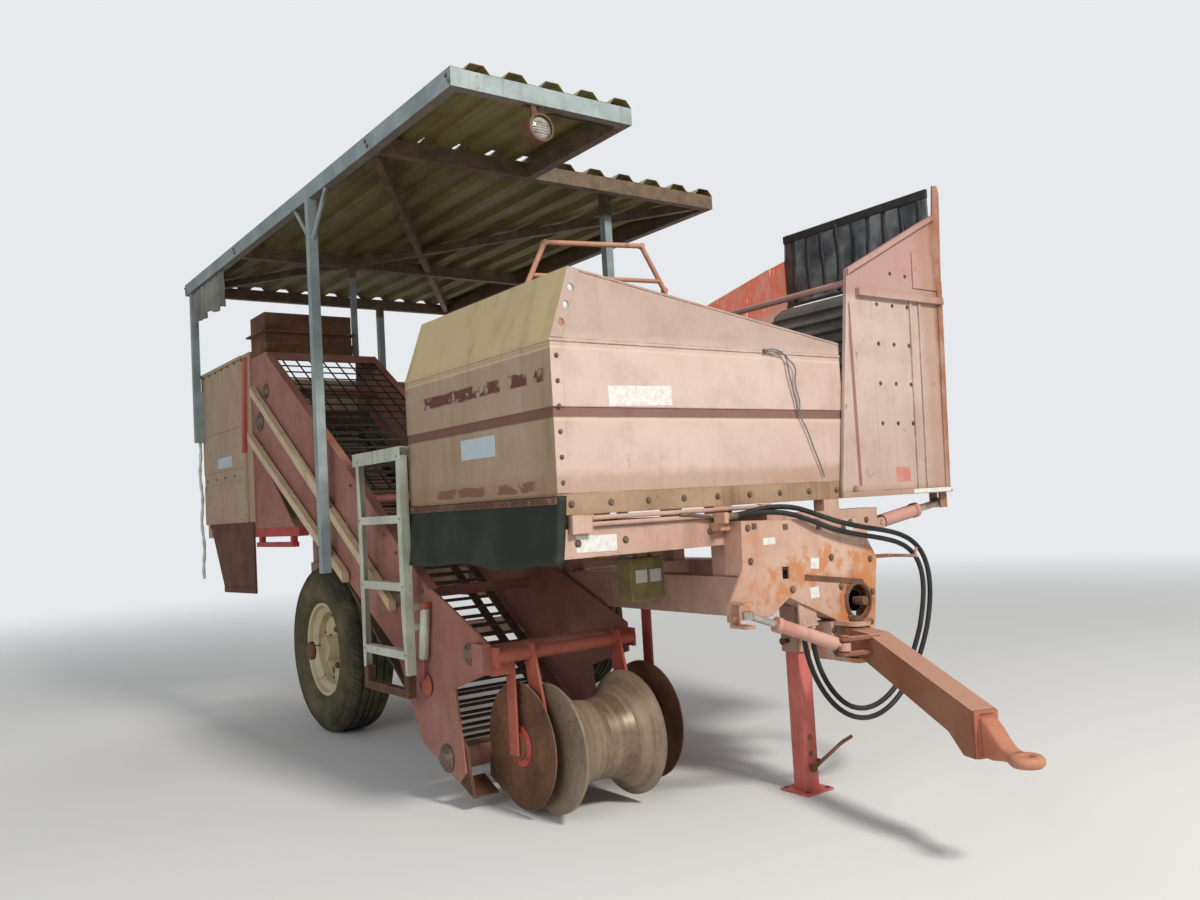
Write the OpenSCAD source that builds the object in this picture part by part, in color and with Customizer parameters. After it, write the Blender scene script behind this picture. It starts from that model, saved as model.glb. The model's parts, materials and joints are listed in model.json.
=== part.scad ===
// Trailed single-row potato harvester with a bunker, a folded discharge boom and a canopy.
// X is the machine's left, Y its rear, Z up. The ground is at z = 0.

/* [Bunker] */
// Front face of the bunker, in Y
bunker_front = -1850; // [-1900:10:-1800]
// Rear face of the bunker, in Y
bunker_rear = -620; // [-680:10:-580]
// Right face of the bunker, in X
bunker_right = -1180; // [-1200:10:-1140]
// Left end of the bunker, in X
bunker_left = 410; // [380:5:420]
// Underside of the bunker walls
bunker_z = 1330; // [1300:10:1370]
// Height of the crease above the bunker's underside
crease_h = 570; // [520:10:620]
// Height of the right front corner above the crease
corner_h = 280; // [240:10:320]
// Height of the bunker's left end above its underside
left_h = 630; // [600:10:680]
// How far the upper right panel leans inwards
lean_in = 100; // [60:5:140]
// Sheet thickness of the bunker
sheet_t = 6; // [4:1:8]
// Height of the groove above the bunker's underside
groove_h = 280; // [260:5:300]
// Radius of the holes at the bunker's upper right corner
front_hole_r = 14; // [8:1:15]
// Width of the groove
groove_w = 40; // [30:2:50]
// Height of the sill under the bunker
sill_h = 80; // [60:5:100]
// Thickness of the sill's steel
sill_t = 8; // [6:1:10]
// Width of the sill's flanges
sill_w = 60; // [50:5:80]
// Depth of the rubber skirt
skirt_h = 270; // [240:10:300]
// Thickness of the rubber skirt
skirt_t = 8; // [6:1:10]

/* [Frame] */
// Height of the long beams' underside
beam_z0 = 800; // [780:5:820]
// Depth of the long beams
beam_h = 160; // [140:5:180]
// Width of the long beams
beam_w = 120; // [100:5:130]
// Right side of the right long beam
beam_right = -370; // [-380:5:-360]
// Right side of the left long beam
beam_left = 420; // [410:5:440]
// Depth of the front beam
front_beam_h = 110; // [90:5:120]
// Width of the front beam
front_beam_w = 110; // [90:5:120]
// Left end of the front beam
front_beam_end = 600; // [560:10:620]
// Side of the axle tube
axle_s = 110; // [90:5:120]
// Thickness of the headstock's plate
head_t = 10; // [8:1:14]
// Depth of the headstock in front of the bunker
head_d = 100; // [80:5:120]
// Radius of the opening round the power shaft
pto_hole_r = 72; // [60:1:80]
// Radius of the power shaft's stub
pto_r = 17.45; // [16:0.05:20]

/* [Wheels] */
// Tyre radius
tyre_r = 500; // [480:5:520]
// Tyre width
tyre_w = 300; // [260:10:320]
// Rim radius
rim_r = 270; // [250:5:290]
// Wheel centre from the middle of the machine
wheel_x = 850; // [830:5:870]
// Wheel centre along the machine
wheel_y = 1150; // [1100:10:1200]
// Radius of the stub axle
stub_r = 30; // [26:1:34]
// Running clearance of a bearing
run_c = 0.05; // [0.02:0.01:0.1]

/* [Digging web] */
// Outer face of the right side panel
web_right = -1140; // [-1150:5:-1130]
// Outer face of the left side panel
web_left = -400; // [-410:5:-390]
// Thickness of the side panels
web_t = 10; // [6:1:12]
// Radius of the web's turns
web_turn_r = 70; // [60:5:80]
// Distance between the web's rods
rod_pitch = 75; // [60:5:140]
// Side of a web rod
rod_s = 12; // [8:1:14]
// Width of the rails on the side panel
rail_w = 36; // [30:2:40]
// Height of the rails on the side panel
rail_h = 55; // [45:5:65]
// Opening of the green mesh
mesh_cell = 90; // [70:10:120]
// Thickness of a mesh strand
mesh_s = 8; // [6:1:10]

/* [Roller and discs] */
// Radius of the ridge roller at its flanges
dia_r = 265; // [255:5:275]
// Radius of the ridge roller at its waist
dia_waist = 165; // [140:5:175]
// Right end of the ridge roller
dia_x0 = -940; // [-960:5:-930]
// Left end of the ridge roller
dia_x1 = -530; // [-560:5:-520]
// Roller centre along the machine
dia_y = -1330; // [-1350:5:-1310]
// Radius of the disc coulters
disc_r = 265; // [240:5:275]
// Thickness of a disc coulter
disc_t = 6; // [5:1:8]
// Disc centre along the machine
disc_y = -1190; // [-1195:5:-1185]
// Right disc's place across the machine
disc_right_x = -990; // [-1000:5:-985]
// Left disc's place across the machine
disc_left_x = -320; // [-330:5:-310]
// Centre height of the roller and discs
dia_z = 290; // [285:1:300]

/* [Boom] */
// Width of the boom's foot
boom_w = 735; // [700:5:745]
// How far the boom's top leans outwards
lean_out = 95; // [70:1:96]
// Height of the boom's peak above its foot
boom_h = 1560; // [1500:10:1600]
// Height of the boom's inner corner above its foot
boom_inner_h = 1060; // [1000:10:1100]
// Front face of the boom, in front of the bunker
boom_front_gap = 16; // [14:1:24]
// Rear face of the boom
boom_rear = -850; // [-880:10:-820]
// Thickness of the boom's side plates
boom_t = 10; // [8:1:12]
// Number of boards on the boom's belt
board_n = 14; // [10:1:16]
// Height of the boom's flap
flap_h = 425; // [400:5:430]
// Radius of the holes in the boom's front panel
boom_hole_r = 11; // [8:1:13]

/* [Canopy] */
// Underside of the canopy's beams
roof_z = 3050; // [2950:10:3100]
// Height of the canopy's beams
roof_beam = 80; // [60:5:100]
// Width of the canopy's beams
roof_w = 50; // [40:5:60]
// Height of the sheet's ridges
ridge_h = 36; // [25:1:50]
// Distance between the sheet's ridges
ridge_pitch = 200; // [150:10:250]
// Side of a canopy post
post_s = 50; // [40:5:55]
// How far the roof passes the rear housing
roof_over = 50; // [50:10:80]
// Front edge of the canopy's front bay
roof_front = -1300; // [-1400:10:-1200]
// Front edge of the canopy's main bay
roof_mid = -450; // [-500:10:-400]
// Right edge of the canopy
roof_right = -1232; // [-1240:1:-1225]
// Left edge of the canopy
roof_left = 1000; // [950:10:1050]
// Width of the canopy's front bay
bay_w = 950; // [900:10:1000]
// Depth of the curtain under the canopy
curtain_h = 270; // [200:10:300]

/* [Drawbar] */
// Hitch eye's bore radius
eye_bore_r = 25; // [20:0.5:30]
// Hitch eye's outer radius
eye_r = 58; // [50:1:65]
// Thickness of the hitch eye
eye_t = 36; // [30:1:45]
// Radius of the drawbar's pivot pin
pivot_r = 20; // [16:1:25]
// Width of the drawbar
bar_w = 96; // [80:2:110]
// Radius of the steering cylinder
steer_r = 27; // [22:1:30]
// Radius of the boom's cylinder
lift_r = 32; // [28:1:36]
// Side of the parking jack's leg
leg_s = 80; // [70:2:90]
// Length of the parking jack's leg
leg_h = 720; // [690:10:720]

/* [Rear] */
// Front edge of the rear housing
rear_y0 = 1800; // [1790:5:1820]
// Length of the rear housing
rear_d = 1200; // [1150:10:1200]
// Right face of the rear housing
rear_x0 = -1150; // [-1155:5:-1145]
// Left face of the rear housing
rear_x1 = 560; // [540:10:600]
// Underside of the rear housing's panels
rear_z0 = 1300; // [1280:5:1310]
// Height of the rear housing
rear_h = 1130; // [1100:10:1150]
// Sheet thickness of the rear housing
rear_t = 8; // [6:1:10]
// Height of the rear hopper
hopper_h = 260; // [220:10:300]
// Height of the ladder's top step
ladder_z = 1560; // [1520:10:1600]
// Distance between the ladder's steps
step_dz = 310; // [290:5:320]
// Height of the pickers' platform
floor_z = 1060; // [1040:10:1100]
// Height of the platform's rail above its floor
rail_up = 940; // [900:10:1000]
// Height of the guard rail above the bunker
guard_h = 700; // [660:10:740]

/* [Hidden] */
gap = 0.3;
crease_z = bunker_z + crease_h;
bunker_top_r = crease_z + corner_h;
bunker_top_l = bunker_z + left_h;
groove_z = bunker_z + groove_h;
sill_z = bunker_z - sill_h;
beam_z1 = beam_z0 + beam_h;
bc0 = beam_right;
bc1 = beam_right + beam_w;
bl0 = beam_left;
bl1 = beam_left + beam_w;
fb_y0 = bunker_front;
fb_y1 = bunker_front + front_beam_w;
fb_z0 = 1090;
fb_z1 = fb_z0 + front_beam_h;
head_y = bunker_front - head_d;
bay_left = roof_right + bay_w;
rear_y1 = rear_y0 + rear_d;
roof_rear = rear_y1 + roof_over;
rear_z1 = rear_z0 + rear_h;
boom_front = bunker_front - boom_front_gap;
boom_in = 415;
boom_out = boom_in + boom_w;
boom_foot = 1250;
boom_peak = boom_foot + boom_h;
boom_inner_z = boom_foot + boom_inner_h;
// Outer end of the boom's sloping top edge
boom_corner = [boom_out + lean_out - 66, boom_inner_z + 345];
// Upper edge of the web's side panels, as [y, z]
edge_a = [-1200, 740];
edge_b = [-700, 950];
edge_c = [220, 1570];
edge_d = [1450, 2360];
side_top = 2380;
// Web line: lower front turn and upper rear turn, as [y, z]
web_a = [-800, 200];
web_b = [1640, 1950];
web_len = sqrt(pow(web_b[0] - web_a[0], 2) + pow(web_b[1] - web_a[1], 2));
web_ang = atan2(web_b[1] - web_a[1], web_b[0] - web_a[0]);
// Boom hinge and its cylinder, as [x, z]
hinge = [440, 1290];
hinge_r = 14;
lift_a = [660, 1125];
lift_b = [1150, 1200];
lift_y = -1795;
lift_len = sqrt(pow(lift_b[0] - lift_a[0], 2) + pow(lift_b[1] - lift_a[1], 2));
lift_ang = atan2(lift_b[1] - lift_a[1], lift_b[0] - lift_a[0]);
belt_y0 = -1720;
left_post_x = 315;
// Drawbar pivot, steering cylinder's lug and its place on the drawbar, as [x, y]
pivot = [190, -2030];
pivot_z = 645;
steer_a = [-440, -2030];
steer_b = [-20, -2140];
steer_za = 820;
steer_zb = 655;
steer_len = sqrt(pow(steer_b[0] - steer_a[0], 2) + pow(steer_b[1] - steer_a[1], 2) + pow(steer_zb - steer_za, 2));
steer_ang = atan2(steer_a[1] - steer_b[1], steer_a[0] - steer_b[0]);
steer_up = asin((steer_za - steer_zb) / steer_len);
eye = [-160, -2992];
eye_z = 370;
// Length of the eye's tongue
tongue = 205;
bar_len = sqrt(pow(eye[0] - pivot[0], 2) + pow(eye[1] - pivot[1], 2));
bar_ang = atan2(eye[1] - pivot[1], eye[0] - pivot[0]);
pin_r = 12;
// Ears and lugs: half the space between a pair, thickness, radius
ear_in = 21;
ear_t = 12;
ear_r = 26;
steer_gap = 40;
lug_t = 18;
// Underside and top of the drawbar's rear end
pivot_z0 = pivot_z - 60;
pivot_z1 = pivot_z + 60;
beam_rear = rear_y1 - 40;
sleeve_z = 600;
pto_guard_r = 45;
hang_x = 620;
// Ends of the hoses at their couplings
hose_start_a = [-400, -1918, 1206];
hose_start_b = [-400, -1888, 1206];
hose_end_a = [22, -1932, 710];
hose_end_b = [-34, -1934, 710];
// Power shaft and parking jack
pto_x = 306;
pto_z = 800;
jack_x = 70;
jack_y = -1795;
hose_r = 11;
$fn = 48;
// Hose routes
route_a = [[-400, -1918, 1206], [-355, -1918, 1207], [-300, -1920, 1210], [-240, -1926, 1213], [-180, -1938, 1212],
    [-120, -1952, 1205], [-60, -1965, 1190], [0, -1974, 1170], [70, -1980, 1146], [140, -1984, 1124],
    [220, -1988, 1104], [300, -1992, 1088], [380, -1998, 1074], [450, -2004, 1060], [520, -2010, 1042],
    [585, -2014, 1014], [635, -2018, 972], [664, -2020, 918], [676, -2020, 858], [674, -2018, 790],
    [662, -2014, 720], [642, -2010, 650], [614, -2004, 582], [576, -1998, 516], [528, -1992, 456],
    [470, -1986, 404], [404, -1980, 364], [332, -1974, 342], [258, -1968, 342], [188, -1962, 364],
    [128, -1956, 408], [80, -1948, 468], [46, -1940, 538], [28, -1934, 610], [22, -1932, 665], [22, -1932, 710]];
route_b = [[-400, -1888, 1206], [-350, -1889, 1208], [-290, -1894, 1215], [-230, -1903, 1225], [-170, -1918, 1232],
    [-110, -1936, 1231], [-50, -1954, 1222], [10, -1968, 1204], [80, -1980, 1180], [150, -1988, 1158],
    [230, -1994, 1138], [310, -1999, 1122], [390, -2005, 1108], [465, -2012, 1094], [540, -2018, 1074],
    [610, -2024, 1042], [664, -2028, 994], [696, -2030, 934], [710, -2030, 866], [710, -2028, 794],
    [700, -2024, 720], [680, -2020, 646], [650, -2014, 572], [610, -2008, 500], [558, -2002, 434],
    [495, -1996, 376], [422, -1990, 330], [342, -1984, 304], [260, -1978, 302], [182, -1970, 324],
    [112, -1962, 368], [54, -1954, 430], [10, -1946, 504], [-18, -1940, 580], [-32, -1936, 650], [-34, -1934, 682],
    [-34, -1934, 710]];

// A box between two corners
module bx(x0, x1, y0, y1, z0, z1) {
    translate([x0, y0, z0]) cube([x1 - x0, y1 - y0, z1 - z0]);
}
// A round bar along X
module rodx(x0, x1, y, z, r) {
    translate([x0, y, z]) rotate([0, 90, 0]) cylinder(h = x1 - x0, r = r);
}
// A round bar along Y
module rody(x, y0, y1, z, r) {
    translate([x, y1, z]) rotate([90, 0, 0]) cylinder(h = y1 - y0, r = r);
}
// A plate in the YZ plane between two X values
module plate_x(x0, x1, pts) {
    translate([x0, 0, 0]) rotate([90, 0, 90]) linear_extrude(x1 - x0) polygon(pts);
}
// A plate in the XZ plane between two Y values
module plate_y(y0, y1, pts) {
    translate([0, y1, 0]) rotate([90, 0, 0]) linear_extrude(y1 - y0) polygon(pts);
}
// A bar of a given width and depth along a sloping line in the YZ plane
module slope_x(x0, x1, a, b, h) {
    plate_x(x0, x1, [a, [a[0], a[1] + h], [b[0], b[1] + h], b]);
}
// A round bar between two points
module rod3(a, b, r) {
    v = b - a;
    translate(a) rotate([0, acos(v[2] / norm(v)), atan2(v[1], v[0])]) cylinder(h = norm(v), r = r);
}

module main_frame() {
    color([0.72, 0.42, 0.38]) union() {
        bx(bunker_right, front_beam_end, fb_y0, fb_y1, fb_z0, fb_z1);
        difference() {
            union() {
                bx(bc0, bc1, head_y + head_t, beam_rear, beam_z0, beam_z1);
                bx(bl0, bl1, fb_y0, beam_rear, beam_z0, beam_z1);
                bx(bc1 - 1, bl0 + 1, jack_y - 45, jack_y + 45, beam_z0, beam_z1 - 60);
                for (y = [bunker_rear - 80, wheel_y - axle_s / 2])
                    bx(bc1 - 1, bl0 + 1, y, y + axle_s, beam_z0, beam_z1);
                // The jack's sleeve
                bx(jack_x - leg_s / 2 - 12, jack_x + leg_s / 2 + 12,
                    jack_y - leg_s / 2 - 5, jack_y + leg_s / 2 + 5, sleeve_z, beam_z0 + 1);
            }
            bx(jack_x - leg_s / 2 - 0.5, jack_x + leg_s / 2 + 0.5,
                jack_y - leg_s / 2 + 4.5, jack_y + leg_s / 2 - 4.5, sleeve_z - 1, beam_z1 + 1);
            rody(pto_x, jack_y - 50, jack_y + 50, pto_z, pto_guard_r + 8);
        }
        // Uprights to the front beam and the sill
        for (x = [bc0 + 20, bl0 - 100])
            bx(x, x + 80, bunker_rear - 70, bunker_rear + 20, beam_z1 - 1, sill_z);
        for (x = [bc0 + 20, bl0 + 20])
            bx(x, x + 80, fb_y0, fb_y1, beam_z1 - 1, fb_z0 + 1);
        for (x = [bunker_right + 60, -420, 240])
            bx(x, x + 100, fb_y0, fb_y0 + 60, fb_z1 - 1, sill_z);
        // Axle, its hangers and stubs
        bx(-hang_x, hang_x, wheel_y - axle_s / 2, wheel_y + axle_s / 2, tyre_r - axle_s / 2, tyre_r + axle_s / 2);
        for (x = [bc0 + 10, bl0 + 10])
            bx(x, x + 100, wheel_y - axle_s / 2, wheel_y + axle_s / 2, tyre_r + axle_s / 2 - 1, beam_z0 + 1);
        for (s = [-1, 1]) {
            rodx(min(s * (hang_x - 5), s * (hang_x + 35)), max(s * (hang_x - 5), s * (hang_x + 35)), wheel_y, tyre_r, 48);
            rodx(min(s * hang_x, s * (wheel_x + 75)), max(s * hang_x, s * (wheel_x + 75)), wheel_y, tyre_r, stub_r);
        }
        // Brackets to the web's left panel
        for (y = [-500, 300, 1000])
            bx(web_left, bc0 + 1, y, y + 80, beam_z0 + 20, beam_z1 - 20);
        // Rear supports
        for (y = [rear_y0 + 20, rear_y1 - 140]) {
            bx(rear_x0 + 6 + gap, rear_x1, y, y + 100, rear_z0 - 100, rear_z0);
            for (x = [bc0 + 20, bl0 + 20])
                bx(x, x + 80, y, y + 100, beam_z1 - 1, rear_z0 - 99);
        }
        // Clevis for the boom's cylinder
        for (y = [lift_y - ear_in - ear_t, lift_y + ear_in])
            difference() {
                union() {
                    bx(front_beam_end - 1, lift_a[0], y, y + ear_t, lift_a[1] - ear_r + 3, lift_a[1] + ear_r - 3);
                    rody(lift_a[0], y, y + ear_t, lift_a[1], ear_r);
                }
                rody(lift_a[0], y - 1, y + ear_t + 1, lift_a[1], pin_r - 1);
            }
        rody(lift_a[0], lift_y - ear_in - ear_t - 3, lift_y + ear_in + ear_t + 3, lift_a[1], pin_r);
    }
}

head_pts = [[-370, 1186], [330, 1163], [450, 980], [405, 662], [230, 700], [-380, 968]];
head_in = [[-360, 1176], [325, 1153], [439, 976], [396, 674], [233, 711], [-370, 975]];
module headstock() {
    color([0.75, 0.36, 0.3]) difference() {
        union() {
            plate_y(head_y, head_y + head_t, head_pts);
            difference() {
                plate_y(head_y + 1, fb_y0, head_pts);
                plate_y(head_y + head_t, fb_y0 + 1, head_in);
            }
            // Gusset with the steering cylinder's ears
            plate_y(head_y, head_y + head_t, [[-372, 1000], [-120, 856], [-230, 790], [-470, 790], [-470, 850]]);
            for (z = [steer_za - steer_gap - ear_t, steer_za + steer_gap])
                difference() {
                    union() {
                        bx(steer_a[0] - ear_r + 3, steer_a[0] + ear_r - 3, steer_a[1], head_y + 1, z, z + ear_t);
                        translate([steer_a[0], steer_a[1], z]) cylinder(h = ear_t, r = ear_r);
                    }
                    translate([steer_a[0], steer_a[1], z - 1]) cylinder(h = ear_t + 2, r = pin_r);
                }
            bx(steer_a[0] - ear_r, steer_a[0] + ear_r, head_y - 10, head_y + 1,
                steer_za - steer_gap - ear_t, steer_za + steer_gap + ear_t);
            // Pivot bracket of the drawbar
            bx(pivot[0] - 70, pivot[0] + 70, head_y, fb_y0, pivot_z0 - 20, pivot_z1 + 20);
            for (z = [pivot_z0 - 6 - lug_t, pivot_z1 + 6]) {
                bx(pivot[0] - 56, pivot[0] + 56, pivot[1], head_y + 1, z, z + lug_t);
                translate([pivot[0], pivot[1], z]) cylinder(h = lug_t, r = 60);
            }
            translate([pivot[0], pivot[1], pivot_z0 - 8]) cylinder(h = pivot_z1 - pivot_z0 + 16, r = pivot_r);
            // Hook that carries the hoses
            rod3([440, -1905, 980], [610, -1905, 975], 9);
            rod3([600, -1903, 975], [600, -2056, 975], 7.5);
            rod3([600, -2046, 971], [600, -2053, 1012], 6.5);
            // Couplings that the hoses end in
            for (y = [hose_start_a[1], hose_start_b[1]])
                rodx(-446, hose_start_a[0] - 0.6, y, hose_start_a[2], 13);
            bx(-446, -424, hose_start_a[1] - 20, fb_y0 - 24, 1180, 1224);
            bx(-446, -366, fb_y0 - 40, fb_y0, 1150, 1186);
            bx(-60, 46, head_y + head_t, head_y + head_t + 8, 722, 850);
            bx(-60, 46, -1948, head_y + head_t + 8, 722, 734);
            for (p = [hose_end_a, hose_end_b])
                translate([p[0], p[1], p[2]]) cylinder(h = 44, r = 15);
        }
        rody(pto_x, head_y - 1, head_y + head_t + 2, pto_z, pto_hole_r);
        bx(-153, -114, head_y - 1, head_y + head_t + 2, 933, 983);
        // Room for the right long beam
        bx(bc0 - gap, bc1 + gap, head_y + head_t - gap, fb_y0 + 1, beam_z0 - gap, beam_z1 + gap);
        rody(pto_x, fb_y0 - 45, jack_y, pto_z, pto_guard_r + 8);
    }
}

module gearbox() {
    color([0.35, 0.2, 0.17]) {
        union() {
            bx(bc1, bl0, -1700, -1560, beam_z0 + 10, beam_z1 - 50);
            rody(pto_x, -1720, -1540, beam_z0 + 60, 70);
            rody(pto_x, head_y + 20, -1700, pto_z, pto_guard_r);
            rody(pto_x, head_y - 40, head_y + 30, pto_z, pto_r);
        }
        // Oil valve on the right long beam
        bx(bc0 - 180, bc0 - gap, -1440, -1350, 860, 1040);
    }
}

bunker_pts = [[bunker_right, bunker_z], [bunker_left, bunker_z], [bunker_left, bunker_top_l],
    [bunker_right + lean_in, bunker_top_r], [bunker_right, crease_z]];
module bunker() {
    color([0.78, 0.5, 0.45]) difference() {
        union() {
            plate_y(bunker_front, bunker_front + sheet_t, bunker_pts);
            plate_y(bunker_rear - sheet_t, bunker_rear, bunker_pts);
            plate_y(bunker_front + 1, bunker_rear - 1, [[bunker_right, bunker_z], [bunker_right + sheet_t, bunker_z],
                [bunker_right + sheet_t, crease_z - 1], [bunker_right + lean_in + sheet_t, bunker_top_r - 2],
                [bunker_right + lean_in, bunker_top_r], [bunker_right, crease_z]]);
            bx(bunker_right + 1, bunker_left, bunker_front + 1, bunker_rear - 1, bunker_z, bunker_z + sheet_t);
            bx(bunker_left - sheet_t, bunker_left, boom_rear + 40, bunker_rear - 1, bunker_z, bunker_top_l);
            // Crease rims
            bx(bunker_right - 4, bunker_left, bunker_front - 4, bunker_front + 1, crease_z - 6, crease_z + 6);
            bx(bunker_right - 4, bunker_right + 1, bunker_front - 4, bunker_rear, crease_z - 6, crease_z + 6);
            // Folded corner at the front
            plate_y(bunker_front - 3, bunker_front + 1, [[bunker_right, bunker_z + 2], [bunker_right + 55, bunker_z + 2],
                [bunker_right + 55, crease_z - 8], [bunker_right, crease_z - 8]]);
            plate_y(bunker_front - 3, bunker_front + 1, [[bunker_right + 2, crease_z + 8], [bunker_right + 57, crease_z + 8],
                [bunker_right + lean_in + 52, bunker_top_r - 14], [bunker_right + lean_in - 2, bunker_top_r - 3]]);
            // Upper rims
            plate_y(bunker_front - 3, bunker_front + 22, [[bunker_right + lean_in, bunker_top_r],
                [bunker_right + lean_in, bunker_top_r - 8], [bunker_left - 1, bunker_top_l - 8], [bunker_left - 1, bunker_top_l]]);
        }
        bx(bunker_right - 10, bunker_left + 1, bunker_front - 10, bunker_front + 3, groove_z, groove_z + groove_w);
        bx(bunker_right - 10, bunker_right + 3, bunker_front - 10, bunker_rear + 1, groove_z, groove_z + groove_w);
        for (i = [1 : 3])
            rody(bunker_right + 32 + lean_in * i / 4, bunker_front - 5, bunker_front + sheet_t + 1, crease_z + corner_h * i / 4.2, front_hole_r);
    }
}

module bunker_sill() {
    color([0.8, 0.72, 0.55]) {
        difference() {
            bx(bunker_right, bunker_left, bunker_front, bunker_rear, sill_z, bunker_z);
            bx(bunker_right + sill_w, bunker_left - sill_w, bunker_front + sill_w, bunker_rear - sill_w,
                sill_z - 1, bunker_z + 1);
            bx(bunker_right + sill_t, bunker_left - sill_t, bunker_front + sill_t, bunker_rear - sill_t,
                sill_z + sill_t, bunker_z - sill_t);
        }
        // Lugs and pins of the boom's hinge
        bx(bunker_left - 1, hinge[0] + 30, bunker_front, bunker_front + 30, sill_z, bunker_z);
        rody(hinge[0], boom_front - 8, bunker_front + 1, hinge[1], hinge_r);
        bx(bunker_left - 1, hinge[0] + 30, boom_rear + 6, boom_rear + 36, sill_z, bunker_z);
        rody(hinge[0], boom_rear - boom_t - 6, boom_rear + 7, hinge[1], hinge_r);
    }
}

module bunker_floor() {
    slat_w = 40;
    slat_n = 13;
    pitch = (bunker_left - bunker_right - 120) / slat_n;
    color([0.3, 0.22, 0.18])
    for (i = [0 : slat_n - 1])
        bx(bunker_right + 60 + i * pitch, bunker_right + 60 + i * pitch + slat_w, bunker_front + 40, bunker_rear - 40,
            bunker_z + sheet_t, bunker_z + sheet_t + 30);
}

module rubber_skirt() {
    wave = [for (i = [0 : 24]) [bunker_rear + (bunker_front - 20 - bunker_rear) * i / 24,
        bunker_z - skirt_h + 9 * sin(i * 67) - 14 * i / 24]];
    color([0.12, 0.13, 0.11]) union() {
        plate_x(bunker_right - skirt_t - gap, bunker_right - gap,
            concat([[bunker_front - 20, bunker_z - 8], [bunker_rear, bunker_z - 8]], wave));
        plate_y(bunker_front - 20, bunker_front - 20 + skirt_t, [[bunker_right - skirt_t - gap, bunker_z - 8],
            [bunker_right + 24, bunker_z - 8], [bunker_right + 20, bunker_z - skirt_h + 20],
            [bunker_right - skirt_t - gap, bunker_z - skirt_h - 10]]);
    }
}

module pipes() {
    color([0.7, 0.4, 0.36]) {
        for (z = [sill_z - 38, sill_z - 14])
            rodx(bunker_right + 80, -150, fb_y0 - 12, z, 9);
        bx(bunker_right + 40, bunker_right + 130, fb_y0 - 30, fb_y0 - gap, fb_z1 - 20, sill_z - 2);
        bx(-180, -120, fb_y0 - 30, fb_y0 - gap, fb_z1 + 2, sill_z - 2);
    }
}

side_pts = [edge_a, edge_b, edge_c, edge_d, [edge_d[0] + 30, side_top], [rear_y0 - gap, side_top],
    [rear_y0 - gap, 1815], [230, 930], [-300, 640], [-560, 230], [-900, 110], [-960, 160], [-900, 520], [-1200, 610]];
module web_sides() {
    flange = [for (k = [0, 1]) for (p = k == 0 ? [edge_b, edge_c, edge_d] : [edge_d, edge_c, edge_b]) [p[0], p[1] - 8 * k]];
    color([0.68, 0.36, 0.32]) union() {
        plate_x(web_right, web_right + web_t, side_pts);
        plate_x(web_left - web_t, web_left, side_pts);
        plate_x(web_right - 12, web_right + 38, flange);
        plate_x(web_left - 40, web_left, flange);
        // Triangular panel ahead of the rear housing
        plate_x(web_right, web_right + web_t, [[1080, rear_z0 - 44], [rear_y0 - gap, rear_z0 - 44],
            [rear_y0 - gap, 1830], [1700, 1760]]);
        // Cross tubes
        for (p = [[-1050, 680], [-350, 900], [600, 1390], [1500, 2130]])
            rodx(web_right + 1, web_left - 1, p[0], p[1], 26);
        // Drums that carry the web
        for (p = [web_a, web_b])
            rodx(web_right + 1, web_left - 1, p[0], p[1], web_turn_r - 10 - gap);
        // Front corner blocks
        bx(web_right - 30, web_right + web_t, -1215, -1120, 610, 735);
        // Cap over the web's rear end
        plate_x(web_right + 1, web_left - 1, [[edge_d[0] - 40, 2328], [edge_d[0] + 40, side_top], [edge_d[0] + 130, side_top],
            [edge_d[0] + 130, side_top - 8], [edge_d[0] + 44, side_top - 8], [edge_d[0] - 36, 2320]]);
    }
}

module web_rails() {
    color([0.8, 0.68, 0.42]) union()
    for (p = [[[-350, 830], [rear_y0 - 100, 2130]], [[230, 950], [rear_y0 - 20, 1830]]]) {
        slope_x(web_right - rail_w - 12 - gap, web_right - 12 - gap, p[0], p[1], rail_h);
        // Distance pieces to the side panel
        for (k = [0.3, 0.55, 0.9]) let (q = p[0] + (p[1] - p[0]) * k)
            rodx(web_right - 14, web_right - gap, q[0], q[1] + rail_h / 2, 18);
    }
}

module digging_web() {
    x0 = web_right + web_t + 12;
    x1 = web_left - web_t - 12;
    color([0.3, 0.24, 0.2]) union() {
        translate([0, web_a[0], web_a[1]]) rotate([web_ang, 0, 0]) {
            for (x = [x0, x1 - 50])
                difference() {
                    union() {
                        bx(x, x + 50, 0, web_len, -web_turn_r, web_turn_r);
                        rodx(x, x + 50, 0, 0, web_turn_r);
                        rodx(x, x + 50, web_len, 0, web_turn_r);
                    }
                    bx(x - 1, x + 51, 0, web_len, -web_turn_r + 10, web_turn_r - 10);
                    rodx(x - 1, x + 51, 0, 0, web_turn_r - 10);
                    rodx(x - 1, x + 51, web_len, 0, web_turn_r - 10);
                }
            for (i = [0 : floor(web_len / rod_pitch)])
                for (s = [-1, 1])
                    bx(x0 + 1, x1 - 1, i * rod_pitch - rod_s / 2, i * rod_pitch + rod_s / 2,
                        s * (web_turn_r - 4) - rod_s / 2, s * (web_turn_r - 4) + rod_s / 2);
        }
    }
}

module web_mesh() {
    a = [100, 1432];
    b = [1480, 2328];
    n = floor(norm(b - a) / mesh_cell);
    m = floor((web_left - web_right - 2 * web_t) / mesh_cell);
    step_x = (web_left - web_right - 2 * web_t - mesh_s) / m;
    color([0.12, 0.25, 0.2]) union() {
        for (i = [0 : n]) let (p = a + (b - a) * i / n)
            bx(web_right + web_t, web_left - web_t, p[0] - mesh_s / 2, p[0] + mesh_s / 2, p[1], p[1] + mesh_s);
        for (i = [0 : m]) let (x = web_right + web_t + i * step_x)
            slope_x(x, x + mesh_s, a, b, mesh_s - 1);
    }
}

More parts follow.
